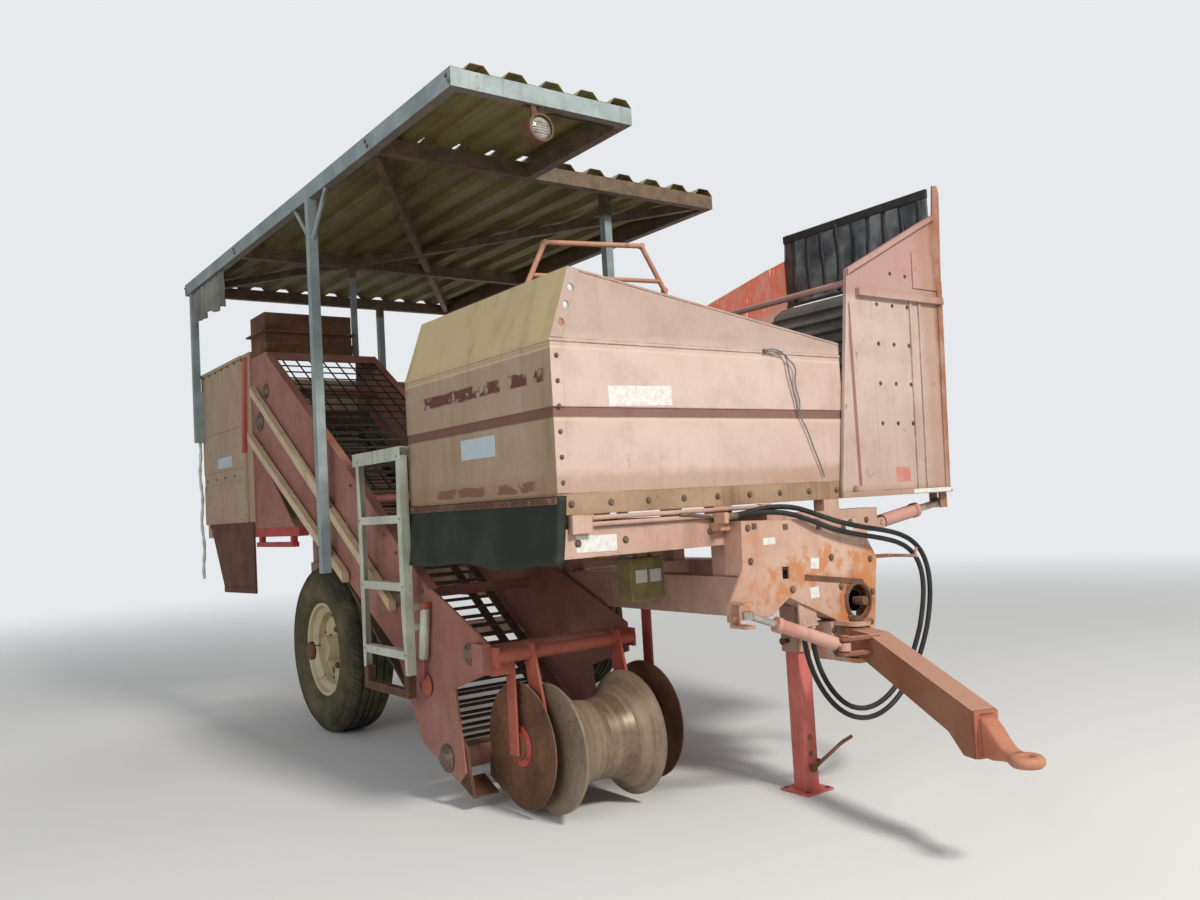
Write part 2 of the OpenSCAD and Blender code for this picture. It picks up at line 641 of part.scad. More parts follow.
module share() {
    inner_r = web_right + web_t;
    inner_l = web_left - web_t;
    color([0.4, 0.27, 0.2]) {
        for (x = [inner_r, inner_l - 12])
            plate_x(x, x + 12, [[-1000, 62], [-960, 260], [-890, 330], [-880, 110]]);
        for (x = [[inner_r, disc_right_x - 14], [disc_right_x + 14, inner_l]])
            plate_x(x[0], x[1], [[-1000, 60], [-880, 108], [-880, 123], [-1005, 66]]);
        plate_x(disc_right_x + 14, disc_right_x + 26, [[-1000, 62], [-930, 200], [-890, 200], [-880, 110]]);
    }
}

module roller_arms() {
    color([0.55, 0.2, 0.16]) union() {
        for (x = [dia_x0 - 25, dia_x1 + 12])
            difference() {
                plate_x(x, x + 14, [[dia_y - 40, dia_z - 40], [dia_y + 40, dia_z - 40], [-1212, 620], [-1212, 720],
                    [-1270, 720], [dia_y - 40, dia_z + 60]]);
                rodx(x - 1, x + 15, dia_y, dia_z, 20 + run_c);
            }
        rodx(web_right + web_t + 1, web_left - web_t - 1, -1240, 680, 28);
        for (x = [web_right + web_t, web_left - web_t - 12])
            bx(x, x + 12, -1265, -1120, 640, 720);
        // Arms and pins of the disc coulters
        bx(web_right + web_t, disc_right_x - 30, disc_y - 30, disc_y + 30, 600, 660);
        bx(disc_right_x - 42, disc_right_x - 30, disc_y - 30, disc_y + 30, dia_z - 35, 640);
        rodx(disc_right_x - 31, disc_right_x + 20, disc_y, dia_z, 18);
        bx(disc_left_x + 30, disc_left_x + 42, disc_y - 30, disc_y + 30, dia_z - 35, beam_z0);
        rodx(disc_left_x - 20, disc_left_x + 31, disc_y, dia_z, 18);
    }
}

module rear_frame() {
    color([0.5, 0.1, 0.09]) {
        for (x = [rear_x0 + 8, rear_x1 - 58])
            bx(x, x + 50, rear_y0, rear_y0 + 50, rear_z0, rear_z1);
        // Leaning corner post outside the housing
        plate_x(rear_x0 - gap - 20, rear_x0 - gap, [[rear_y0 + 48, rear_z1 - 30], [rear_y0 + 100, rear_z1 - 30],
            [rear_y0 + 165, rear_z0 + 470], [rear_y0 + 112, rear_z0 + 470]]);
        // Beam and bar under the triangular panel
        bx(web_right, web_right + 60, 1000, rear_y0 + 20 - gap, rear_z0 - 100, rear_z0 - 44);
        bx(web_right, web_right + 40, 1120, rear_y0 + 20 - gap, rear_z0 - 165, rear_z0 - 135);
        for (y = [1130, rear_y0 - 60])
            bx(web_right + 4, web_right + 36, y, y + 40, rear_z0 - 136, rear_z0 - 99);
    }
}

module rear_housing() {
    band_z = rear_z0 + 285;
    band_h = 90;
    seam_z = rear_z0 + 650;
    color([0.62, 0.35, 0.31]) difference() {
        union() {
            bx(rear_x0, rear_x1, rear_y0, rear_y1, rear_z0, rear_z1);
            // Holed post under the corner post
            bx(rear_x0 - 14, rear_x0 + 1, rear_y0 + 112, rear_y0 + 165, rear_z0 + 2, rear_z0 + 470 - gap);
            // Top rim
            bx(rear_x0 - 10, rear_x0 + 1, rear_y0 + 170, rear_y1, rear_z1 - 22, rear_z1);
        }
        bx(rear_x0 + rear_t, rear_x1 - rear_t, rear_y0 - 1, rear_y1 - rear_t, rear_z0 + rear_t, rear_z1 + 1);
        bx(rear_x0 + rear_t - 1, rear_x0 + 59, rear_y0 - 1, rear_y0 + 51, rear_z0 - 1, rear_z0 + rear_t + 1);
        bx(rear_x1 - 59, rear_x1 - rear_t + 1, rear_y0 - 1, rear_y0 + 51, rear_z0 - 1, rear_z0 + rear_t + 1);
        bx(rear_x0 - 1, rear_x0 + 4, rear_y0 + 170, rear_y1 + 1, band_z, band_z + band_h);
        bx(rear_x0 - 1, rear_x0 + 2, rear_y0 + 170, rear_y1 + 1, seam_z, seam_z + 6);
        for (i = [0 : 6])
            rodx(rear_x0 - 16, rear_x0 + 3, rear_y0 + 138, rear_z0 + 50 + i * 60, 7);
    }
}

module rear_flap() {
    x0 = rear_x0;
    x1 = rear_x0 + 6;
    top = rear_z0 - gap;
    color([0.45, 0.3, 0.24]) union() {
        plate_x(x0, x1, [[rear_y0 + 25, 830], [2540, 815], [2840, 1250], [2860, top], [rear_y0 + 25, top]]);
        plate_x(x0 - 8, x0 + 1, [[rear_y0 + 25, 830], [rear_y0 + 60, 829], [rear_y0 + 60, top], [rear_y0 + 25, top]]);
        plate_x(x0 - 8, x0 + 1, [[rear_y0 + 26, 830], [2540, 815], [2546, 850], [rear_y0 + 26, 865]]);
        bx(x0 - 6, x0 + 1, rear_y0 + 26, 2855, top - 36, top);
    }
}

module rear_hopper() {
    z0 = side_top;
    color([0.35, 0.2, 0.13]) difference() {
        union() {
            bx(web_right, -560, rear_y0 - 310, rear_y0 - 20, z0, z0 + hopper_h);
            bx(web_right - 30, -540, rear_y0 - 340, rear_y0 - 5, z0 + hopper_h / 2, z0 + hopper_h / 2 + 10);
            plate_x(web_right, -560, [[rear_y0 - 311, z0 + 2], [rear_y0 - 309, z0 + 2], [rear_y0 - 309, z0 + 40],
                [rear_y0 - 345, z0 + 62], [rear_y0 - 350, z0 + 56]]);
        }
        bx(web_right + 8, -568, rear_y0 - 302, rear_y0 - 28, z0 - 10, z0 + hopper_h + 10);
    }
}

table_z = 1480;
table_y = 450;
module picking_table() {
    x0 = -350;
    x1 = 480;
    color([0.5, 0.32, 0.27]) {
        difference() {
            bx(x0, x1, table_y + gap, rear_y0 - 10, table_z, table_z + 200);
            bx(x0 + 8, x1 - 8, table_y - 10, rear_y0 + 10, table_z + 80, table_z + 210);
        }
        for (x = [bc1 - 60, bl0 + 5])
            for (y = [600, rear_y0 - 200])
                bx(x, x + 50, y, y + 50, beam_z1, table_z);
    }
}

module fill_elevator() {
    x0 = -350;
    x1 = 290;
    color([0.7, 0.3, 0.22]) {
        difference() {
            plate_x(x0, x1, [[table_y, table_z], [table_y, table_z + 220], [-480, 2440], [-600, 2400], [-600, 2200]]);
            plate_x(x0 + 8, x1 - 8, [[table_y + 10, table_z + 80], [table_y + 10, table_z + 230], [-480, 2500],
                [-620, 2480], [-620, 2280], [-560, 2250]]);
        }
        for (x = [x0 + 40, x1 - 50])
            bx(x, x + 50, -100, -50, beam_z1, 1880);
        bx(x1 - 50, bl0 + 30, -100, -50, beam_z1, beam_z1 + 15);
    }
}

module guard_rail() {
    y = bunker_rear + 22;
    foot = bunker_top_l - 31;
    top = bunker_top_l + guard_h;
    hoop = [[-400, foot], [-470, top - 240], [-345, top], [300, top + 50], [450, top - 190], [520, foot]];
    color([0.72, 0.3, 0.24]) union() {
        bx(-420, 580, bunker_rear + gap, bunker_rear + 40, bunker_top_l - 80, bunker_top_l - 30);
        for (i = [0 : len(hoop) - 2])
            rod3([hoop[i][0], y, hoop[i][1]], [hoop[i + 1][0], y, hoop[i + 1][1]], 14);
        for (i = [1 : len(hoop) - 2])
            translate([hoop[i][0], y + 14.6, hoop[i][1]]) rotate([90, 0, 0]) cylinder(h = 29.2, r = 15.5);
        // Lower rail between the legs
        rod3([-438, y, top - 180], [420, y, top - 140], 12);
    }
}

module platform() {
    x0 = bl1 + 60;
    x1 = 1150;
    y0 = 200;
    y1 = 1750;
    rail_s = 40;
    color([0.45, 0.33, 0.26]) union() {
        bx(x0, x1, y0, y1, floor_z, floor_z + 20);
        for (y = [y0 + 60, y1 - 110]) {
            bx(bl1, x1 - 50, y, y + 60, floor_z - 160, floor_z - 100);
            for (x = [x0 - 40, x1 - 110])
                bx(x, x + 50, y, y + 60, floor_z - 105, floor_z + 5);
        }
        for (y = [y0 + 20, (y0 + y1) / 2, y1 - 60])
            bx(x1 - 50, x1 - 50 + rail_s, y, y + rail_s, floor_z + 15, floor_z + rail_up);
        for (z = [floor_z + rail_up / 2, floor_z + rail_up - rail_s])
            bx(x1 - 50, x1 - 50 + rail_s, y0 + 20, y1 - 20, z, z + rail_s);
        bx(x1 - 16, x1 - 10, y0, y1, floor_z + 15, floor_z + 120);
    }
}

module ladder() {
    x0 = -1245;
    w = 42;
    t = 4;
    foot = ladder_z - 3 * step_dz - 70;
    color([0.55, 0.58, 0.54]) union() {
        // Angle-section sides that taper at their ends
        for (s = [[-652, 1], [-150, -1]]) {
            bx(x0, x0 + w, s[1] > 0 ? s[0] : s[0] - t, s[1] > 0 ? s[0] + t : s[0], foot, ladder_z + 2);
            plate_x(x0, x0 + t, [[s[0], foot], [s[0] + s[1] * w * 0.6, foot], [s[0] + s[1] * w, foot + 260],
                [s[0] + s[1] * w, ladder_z - 260], [s[0] + s[1] * w * 0.7, ladder_z], [s[0], ladder_z]]);
        }
        // Channel-section treads
        for (i = [1 : 3]) let (z = ladder_z - i * step_dz) {
            bx(x0, x0 + t, -652, -150, z, z + 38);
            bx(x0, x0 + w, -652, -150, z + 34, z + 38);
            bx(x0, x0 + w, -652, -150, z, z + 4);
        }
        bx(x0, x0 + t, -660, -110, ladder_z - 20, ladder_z + 42);
        bx(x0, x0 + w, -660, -612, ladder_z + 38, ladder_z + 42);
        bx(x0, x0 + 95, -613, -110, ladder_z + 38, ladder_z + 42);
        bx(x0 + 91, x0 + 95, -612, -110, ladder_z + 2, ladder_z + 42);
        for (y = [-612, -120])
            bx(x0, x0 + 95, y, y + 8, ladder_z, ladder_z + 40);
        // Stays to the digging web's side
        for (z = [760, 850])
            bx(x0 + w - 1, web_right - gap, -648, -622, z, z + 30);
        bx(x0 + w - 1, web_right - gap, -182, -156, 1250, 1280);
    }
}

module step_frame() {
    foot = ladder_z - 3 * step_dz - 70;
    color([0.5, 0.38, 0.2]) union() {
        for (y = [-650, -192])
            bx(-1245, -1205, y, y + 40, foot - 100, foot - gap);
        bx(-1245, -1205, -650, -152, foot - 104, foot - 68);
    }
}

// Flat bar between two points of the roof, as [x, y]
module brace(a, b) {
    u = (b - a) / norm(b - a);
    n = [-u[1], u[0]] * roof_w * 0.4;
    translate([0, 0, roof_z + 12]) linear_extrude(roof_beam - 30)
        polygon([a - n, b - n, b + n, a + n]);
}

module canopy_frame() {
    top = roof_z + roof_beam;
    color([0.55, 0.6, 0.6]) union() {
        bx(roof_right, roof_right + roof_w, roof_front, roof_rear, roof_z, top);
        bx(roof_left - roof_w, roof_left, roof_mid, roof_rear, roof_z, top);
        bx(bay_left - roof_w, bay_left, roof_front, roof_mid + 10, roof_z, top);
        bx(roof_right, bay_left, roof_front, roof_front + roof_w, roof_z, top);
        for (y = [roof_mid, 1743, roof_rear - roof_w])
            bx(roof_right, roof_left, y, y + roof_w, roof_z, top);
        // Braces that cross under the sheets
        brace([roof_right + roof_w / 2, roof_mid + roof_w / 2], [roof_left - roof_w / 2, roof_rear - roof_w / 2]);
        brace([roof_left - roof_w / 2, roof_mid + roof_w / 2], [roof_right + roof_w / 2, roof_rear - roof_w / 2]);
        // Posts
        post_x = web_right - rail_w - 12 - 2 * gap - post_s;
        bx(post_x, post_x + post_s, 375, 375 + post_s, 1000, roof_z + 1);
        bx(rear_x0 - 20 - gap - post_s, rear_x0 - 20 - gap, rear_y1 - 70, rear_y1 - 70 + post_s, 1920, roof_z + 1);
        bx(rear_x0 - 21 - gap, rear_x0 - gap, rear_y1 - 70, rear_y1 - 70 + post_s, 1920, 2300);
        bx(left_post_x, left_post_x + post_s, -255, -255 + post_s, beam_z1, roof_z + 1);
        bx(left_post_x, left_post_x + post_s, roof_mid, -255 + post_s, roof_z, top);
        bx(left_post_x, left_post_x + post_s, rear_y1 + gap, rear_y1 + post_s, 1400, roof_z + 1);
        bx(web_left - 35, web_left, 1750, 1785, side_top + gap, roof_z + 1);
        // Braces of the right posts
        rod3([post_x + post_s / 2, 400, roof_z - 240], [post_x + post_s / 2, 640, roof_z + 5], 12);
        rod3([post_x + post_s / 2, 400, roof_z - 240], [post_x + post_s / 2, 160, roof_z + 5], 12);
    }
}

// One bay of trapezoidal sheet with its ridges along the machine
module trapezoid_sheet(x0, x1, y0, y1, z) {
    n = round((x1 - x0) / ridge_pitch);
    p = (x1 - x0) / n;
    t = 3;
    low = [for (i = [0 : n - 1]) for (q = [[0, 0], [0.35, 0], [0.5, 1], [0.85, 1]])
        [x0 + (i + q[0]) * p, z + q[1] * (ridge_h - t)]];
    high = [for (i = [n - 1 : -1 : 0]) for (q = [[0.85, 1], [0.5, 1], [0.35, 0], [0, 0]])
        [x0 + (i + q[0]) * p, z + q[1] * (ridge_h - t) + t]];
    plate_y(y0, y1, concat(low, [[x1, z], [x1, z + t]], high));
}

module canopy_sheets() {
    top = roof_z + roof_beam;
    color([0.5, 0.5, 0.42]) {
        trapezoid_sheet(roof_right, roof_left, roof_mid, roof_rear, top);
        trapezoid_sheet(roof_right, bay_left, roof_front, roof_mid - 2, top);
    }
}

module work_lamp() {
    x = -820;
    color([0.5, 0.25, 0.15]) difference() {
        union() {
            bx(x - 12, x + 12, roof_front + 10, roof_front + 30, roof_z - 90, roof_z - gap);
            bx(x - 40, x + 40, roof_front + 4, roof_front + 46, roof_z - 4 - gap, roof_z - gap);
            rody(x, roof_front - 45, roof_front + 30, roof_z - 120, 62);
        }
        rody(x, roof_front - 46, roof_front - 30, roof_z - 120, 54);
    }
}

module roof_curtain() {
    color([0.5, 0.52, 0.52])
    bx(roof_right + 20, roof_right + 26, roof_rear - 950, roof_rear - 150, roof_z - curtain_h, roof_z - gap);
}

module tyre(side) {
    half = [[rim_r, 0.7], [rim_r + 13, 0.7], [rim_r + 40, 0.9], [tyre_r - 120, 1], [tyre_r - 45, 0.94], [tyre_r - 12, 0.78],
        [tyre_r, 0.62], [tyre_r, 0.48], [tyre_r - 10, 0.46], [tyre_r - 10, 0.4], [tyre_r, 0.38],
        [tyre_r, 0.16], [tyre_r - 10, 0.14], [tyre_r - 10, 0.08], [tyre_r, 0.06]];
    n = len(half);
    translate([side * wheel_x, wheel_y, tyre_r]) rotate([0, 90, 0])
    color([0.1, 0.1, 0.1]) rotate_extrude($fn = 80)
        polygon(concat([for (p = half) [p[0], -p[1] * tyre_w / 2]],
            [for (i = [n - 1 : -1 : 0]) [half[i][0], half[i][1] * tyre_w / 2]]));
}

module rim(side) {
    w = 0.73 * tyre_w / 2;
    color([0.75, 0.68, 0.55])
    translate([side * wheel_x, wheel_y, tyre_r]) rotate([0, 90, 0]) difference() {
        union() {
            rotate_extrude($fn = 96)
                polygon([[rim_r - 10, -w], [rim_r + 12, -w - 4], [rim_r + 12, -w - 1], [rim_r - gap, -w + 3],
                    [rim_r - gap, w - 3], [rim_r + 12, w + 1], [rim_r + 12, w + 4], [rim_r - 10, w],
                    [rim_r - 14, w - 20], [rim_r - 50, w - 45], [rim_r - 50, -w + 45], [rim_r - 14, -w + 20]]);
            translate([0, 0, side * 20 - 5]) cylinder(h = 10, r = rim_r - 45);
            translate([0, 0, side > 0 ? -185 : -105]) cylinder(h = 290, r = 75);
            for (i = [0 : 5])
                rotate([0, 0, i * 60]) translate([110, 0, side * 20 - 14]) cylinder(h = 28, r = 11);
        }
        translate([0, 0, side > 0 ? -186 : -80]) cylinder(h = 266, r = stub_r + run_c);
        for (i = [0 : 4])
            rotate([0, 0, 30 + i * 72]) translate([172, 0, side * 20 - 6]) cylinder(h = 12, r = 24);
    }
}

module ridge_roller() {
    m = (dia_x0 + dia_x1) / 2;
    w = (dia_x1 - dia_x0) / 2;
    color([0.4, 0.28, 0.2]) translate([m, dia_y, dia_z]) rotate([0, 90, 0]) union() {
        rotate_extrude($fn = 72)
            polygon([[0, -w], [dia_r, -w], [dia_r, -w + 12], [dia_r - 75, -w + 90], [dia_waist + 10, -70],
                [dia_waist, 0], [dia_waist + 10, 70], [dia_r - 75, w - 90], [dia_r, w - 12], [dia_r, w], [0, w]]);
        translate([0, 0, -w - 28]) cylinder(h = 2 * w + 56, r = 20);
    }
}

module disc(x) {
    color([0.3, 0.2, 0.16]) translate([x, disc_y, dia_z]) rotate([0, 90, 0]) difference() {
        union() {
            translate([0, 0, -disc_t / 2]) cylinder(h = disc_t, r = disc_r, $fn = 72);
            translate([0, 0, -25]) cylinder(h = 50, r = 60);
        }
        translate([0, 0, -60]) cylinder(h = 120, r = 18 + run_c);
    }
}

module drawbar() {
    h = bar_w / 2;
    color([0.72, 0.4, 0.34]) difference() {
        union() {
            translate([pivot[0], pivot[1], 0]) rotate([0, 0, bar_ang]) {
                translate([0, 0, pivot_z0]) cylinder(h = pivot_z1 - pivot_z0, r = 56);
                translate([0, h, 0]) rotate([90, 0, 0]) linear_extrude(bar_w)
                    polygon([[0, pivot_z0 + 6], [0, pivot_z1 - 5], [170, pivot_z1 - 10],
                        [bar_len - tongue, 500], [bar_len - tongue, 335], [bar_len - tongue - 65, 335], [bar_len - tongue - 145, 402],
                        [110, pivot_z0 + 3]]);
            }
            // Ears of the steering cylinder
            translate([steer_b[0], steer_b[1], steer_zb]) rotate([0, 0, bar_ang + 90]) {
                for (z = [-24 - ear_t, 24]) {
                    translate([0, 0, z]) cylinder(h = ear_t, r = ear_r);
                    translate([0, 4 - ear_r, z]) cube([150, 2 * ear_r - 8, ear_t]);
                }
                translate([0, 0, -26 - ear_t]) cylinder(h = 52 + 2 * ear_t, r = pin_r);
            }
        }
        translate([pivot[0], pivot[1], pivot_z0 - 1]) cylinder(h = pivot_z1 - pivot_z0 + 2, r = pivot_r + run_c);
    }
}

module hitch_eye() {
    color([0.75, 0.28, 0.2])
    translate([eye[0], eye[1], eye_z]) difference() {
        union() {
            cylinder(h = eye_t, r = eye_r, center = true);
            rotate([0, 0, bar_ang + 180]) {
                translate([0, 33, 0]) rotate([90, 0, 0]) linear_extrude(66)
                    polygon([[20, -eye_t / 2], [20, eye_t / 2], [85, eye_t / 2 + 12], [140, 80], [tongue - 8, 124],
                        [tongue - 8, -20], [145, -28], [80, -eye_t / 2]]);
                translate([tongue - 14, -bar_w / 2, -34]) cube([14 - gap, bar_w, 163]);
            }
        }
        cylinder(h = eye_t + 2, r = eye_bore_r, center = true);
    }
}

// A cylinder's barrel from its pin, and its rod to the far eye
module cyl_barrel(neck, len, r) {
    difference() {
        union() {
            translate([neck, 0, 0]) rotate([0, 90, 0]) cylinder(h = len, r = r);
            translate([neck + len - 26, 0, 0]) rotate([0, 90, 0]) cylinder(h = 26, r = r + 4);
            rotate([0, 90, 0]) cylinder(h = neck + 1, r = 10);
        }
        translate([neck + 30, 0, 0]) rotate([0, 90, 0]) cylinder(h = len, r = r * 0.55 + run_c);
    }
}
module cyl_rod(start, end, r) {
    translate([start, 0, 0]) rotate([0, 90, 0]) cylinder(h = end - start - 15, r = r);
}

module steer_barrel() {
    color([0.6, 0.3, 0.25]) translate([steer_b[0], steer_b[1], steer_zb]) difference() {
        union() {
            rotate([0, 0, steer_ang]) rotate([0, -steer_up, 0]) cyl_barrel(48, 290, steer_r);
            translate([0, 0, -16]) cylinder(h = 32, r = 24);
        }
        translate([0, 0, -20]) cylinder(h = 40, r = pin_r + run_c);
    }
}
module steer_rod() {
    color([0.7, 0.7, 0.7]) difference() {
        union() {
            translate([steer_b[0], steer_b[1], steer_zb]) rotate([0, 0, steer_ang]) rotate([0, -steer_up, 0])
                cyl_rod(140, steer_len, steer_r * 0.55);
            translate([steer_a[0], steer_a[1], steer_za - 15]) cylinder(h = 30, r = 24);
        }
        translate([steer_a[0], steer_a[1], steer_za - 20]) cylinder(h = 40, r = pin_r);
    }
}

module jack_leg() {
    color([0.7, 0.15, 0.12]) union() {
        bx(jack_x - leg_s / 2, jack_x + leg_s / 2, jack_y - leg_s / 2 + 5, jack_y + leg_s / 2 - 5, 5, leg_h);
        bx(jack_x - 80, jack_x + 80, jack_y - 80, jack_y + 80, 0, 10);
    }
}

// Outline of the boom's end panels, as [x, z]
boom_top = [[boom_out, boom_foot], [boom_out + 45, boom_foot + 900], [boom_out + lean_out, boom_peak - 40],
    [boom_out + lean_out - 12, boom_peak], [boom_out + lean_out - 48, boom_peak - 4], boom_corner,
    [boom_out - 100, boom_inner_z + 285], [boom_in + 61, boom_inner_z]];
boom_pts = concat([[boom_in - 70, boom_foot]], boom_top);
// The rear panel keeps clear of the bunker's left end, also when the boom is lowered
boom_rear_pts = concat([[hinge[0] - 2, boom_foot]], boom_top,
    [[boom_in, boom_foot + boom_inner_h * 70 / 131], [boom_in, hinge[1]]]);
// Point on the boom's inner edge at a height
function boom_inner_x(z) = boom_in - 70 + 131 * (z - boom_foot) / boom_inner_h;
function boom_outer_x(z) = boom_out + 45 * (z - boom_foot) / 900;
module boom_frame() {
    rail_z = boom_foot + 26;
    ledge_z = boom_inner_z - 120;
    color([0.76, 0.48, 0.43]) difference() {
        union() {
            plate_y(boom_front, boom_front + boom_t, boom_pts);
            plate_y(boom_rear - boom_t, boom_rear, boom_rear_pts);
            // Bottom rail, outer column, ledge, raised plate and top flange of the front panel
            bx(boom_in - 70, boom_out, boom_front - 9, boom_front + 1, boom_foot, rail_z);
            plate_y(boom_front - 7, boom_front + 1, [[boom_outer_x(boom_foot) - 34, rail_z - 1],
                [boom_outer_x(boom_foot), rail_z - 1], [boom_outer_x(boom_inner_z), boom_inner_z],
                [boom_outer_x(boom_inner_z) - 38, boom_inner_z]]);
            plate_y(boom_front - 7, boom_front + 1, [[boom_in - 69, rail_z - 1], [boom_in - 45, rail_z - 1],
                [boom_in + 85, boom_inner_z - 4], [boom_in + 61, boom_inner_z - 4]]);
            bx(boom_in + 122, boom_outer_x(ledge_z) - 14, boom_front - 24, boom_front + 1, ledge_z, ledge_z + 34);
            plate_y(boom_front - 6, boom_front + 1, [[boom_out - 180, boom_inner_z - 50], [boom_out + 30, boom_inner_z - 50],
                [boom_out + 36, boom_inner_z + 130], [boom_out - 174, boom_inner_z + 130]]);
            plate_y(boom_front - 18, boom_front + 1, [[boom_in + 61, boom_inner_z - 26], [boom_out - 100, boom_inner_z + 259],
                boom_corner - [0, 26], boom_corner,
                [boom_out - 100, boom_inner_z + 285], [boom_in + 61, boom_inner_z]]);
            for (x = [boom_out - 255, boom_out - 185])
                plate_y(boom_front - 8, boom_front + 1, [[x, rail_z - 1], [x + 16, rail_z - 1],
                    [x + 50, ledge_z + 1], [x + 34, ledge_z + 1]]);
            // Top flange of the rear panel
            plate_y(boom_rear - 1, boom_rear + 18, [[boom_in + 61, boom_inner_z - 26], [boom_out - 100, boom_inner_z + 259],
                [boom_out - 100, boom_inner_z + 285], [boom_in + 61, boom_inner_z]]);
            // Outer sheet and foot sheet between the panels
            plate_y(belt_y0, boom_rear - 1, [[boom_outer_x(boom_foot) - 6, boom_foot], [boom_outer_x(boom_foot), boom_foot],
                [boom_outer_x(boom_inner_z), boom_inner_z], [boom_outer_x(boom_inner_z) - 6, boom_inner_z]]);
            bx(boom_in + 185, boom_out - 1, belt_y0, boom_rear - 1, boom_foot, boom_foot + 6);
            // Cross tubes between the end panels
            for (p = [[boom_out + 10, boom_foot + 560], [boom_out + 28, boom_inner_z - 40], [boom_in + 100, boom_inner_z - 60]])
                rody(p[0] - 20, boom_front + 1, boom_rear - 1, p[1], 16);
            // Ears for the cylinder's rod, and what carries them
            for (y = [lift_y - ear_in - ear_t, lift_y + ear_in])
                bx(lift_b[0] - ear_r, lift_b[0] + ear_r, y, y + ear_t, lift_b[1] - ear_r, boom_foot + 1);
            bx(lift_b[0] - ear_r, lift_b[0] + ear_r, boom_front + 1, lift_y + ear_in + ear_t, boom_foot, boom_foot + 12);
        }
        rody(hinge[0], boom_front - 20, boom_front + boom_t + 1, hinge[1], hinge_r + run_c);
        rody(hinge[0], boom_rear - boom_t - 1, boom_rear + 1, hinge[1], hinge_r + run_c);
        // Rows of holes
        for (p = [[boom_out - 346, boom_inner_z + 7], [boom_out - 232, boom_inner_z + 3]])
            rody(p[0], boom_front - 30, boom_front + boom_t + 1, p[1], boom_hole_r);
        for (x = [boom_out - 462, boom_out - 346, boom_out - 232])
            for (k = [0 : 3])
                rody(x - 6 * k, boom_front - 1, boom_front + boom_t + 1, boom_inner_z - 150 - 190 * k, boom_hole_r);
    }
}

belt_pts = [[boom_in + 105, boom_foot + 90], [boom_in + 205, boom_foot + 50], [boom_out - 5, boom_inner_z - 20],
    [boom_out - 40, boom_inner_z + 40], [boom_out - 100, boom_inner_z]];
// Above this share of its length the belt reaches the front panel
belt_k = 0.2;
module boom_belt() {
    n = board_n;
    a = [belt_pts[0][0], belt_pts[0][1]];
    b = [belt_pts[4][0], belt_pts[4][1]];
    u = (b - a) / norm(b - a);
    w = [-u[1], u[0]];
    color([0.45, 0.42, 0.38]) union() {
        plate_y(belt_y0, boom_rear - boom_t - gap, belt_pts);
        plate_y(boom_front + boom_t + gap, belt_y0 + 1, [a + (b - a) * belt_k, belt_pts[1] + (belt_pts[2] - belt_pts[1]) * belt_k,
            belt_pts[2], belt_pts[3], belt_pts[4]]);
        // Boards across the belt
        for (i = [0 : n - 1]) let (p = a + u * norm(b - a) * (i + 0.5) / n)
            plate_y(belt_y0 + 30, boom_rear - boom_t - 30, [p - u * 18 - w * 2, p + u * 18 - w * 2,
                p + u * 14 + w * 22, p - u * 14 + w * 22]);
    }
}

module boom_flap() {
    x = boom_out + 8;
    z0 = boom_inner_z + 55;
    color([0.1, 0.1, 0.1]) union() {
        bx(x, x + 5, boom_front + boom_t + gap, boom_rear - boom_t - gap, z0, z0 + flap_h);
        bx(x - 6, x + 11, boom_front + boom_t + gap, boom_rear - boom_t - gap, z0 + flap_h - 40, z0 + flap_h);
        for (i = [0 : 5])
            let (y = boom_front + 90 + i * 160) bx(x - 5, x + 10, y, y + 16, z0, z0 + flap_h - 20);
    }
}

module boom_barrel() {
    color([0.6, 0.3, 0.25]) translate([lift_a[0], lift_y, lift_a[1]]) rotate([90, 0, 0]) rotate([0, 0, lift_ang])
        difference() {
            union() {
                cyl_barrel(36, 270, lift_r);
                translate([0, 0, -16]) cylinder(h = 32, r = 24);
            }
            translate([0, 0, -20]) cylinder(h = 40, r = pin_r + run_c);
        }
}
module boom_rod() {
    color([0.75, 0.75, 0.75]) translate([lift_a[0], lift_y, lift_a[1]]) rotate([90, 0, 0]) rotate([0, 0, lift_ang])
        difference() {
            union() {
                cyl_rod(140, lift_len, lift_r * 0.55);
                translate([lift_len, 0, -15]) cylinder(h = 30, r = 24);
            }
            translate([lift_len, 0, -20]) cylinder(h = 40, r = pin_r);
        }
}

function unit(v) = v / norm(v);
function ring(p, t, r, n) = let (u = unit(cross(t, [0.3, 0.2, 0.93])), w = cross(t, u))
    [for (i = [0 : n - 1]) p + r * (cos(360 * i / n) * u + sin(360 * i / n) * w)];
// A round tube along a route
module tube(pts, r, n = 10) {
    last = len(pts) - 1;
    rings = [for (k = [0 : last]) ring(pts[k], unit(pts[min(k + 1, last)] - pts[max(k - 1, 0)]), r, n)];
    polyhedron([for (g = rings) for (p = g) p],
        concat([[for (i = [0 : n - 1]) i]],
            [for (k = [0 : last - 1]) for (i = [0 : n - 1])
                [k * n + i, (k + 1) * n + i, (k + 1) * n + (i + 1) % n, k * n + (i + 1) % n]],
            [[for (i = [n - 1 : -1 : 0]) last * n + i]]), convexity = 6);
}
module hose_a() {
    color([0.06, 0.06, 0.06]) tube(route_a, hose_r);
}
module hose_b() {
    color([0.07, 0.07, 0.07]) tube(route_b, hose_r);
}

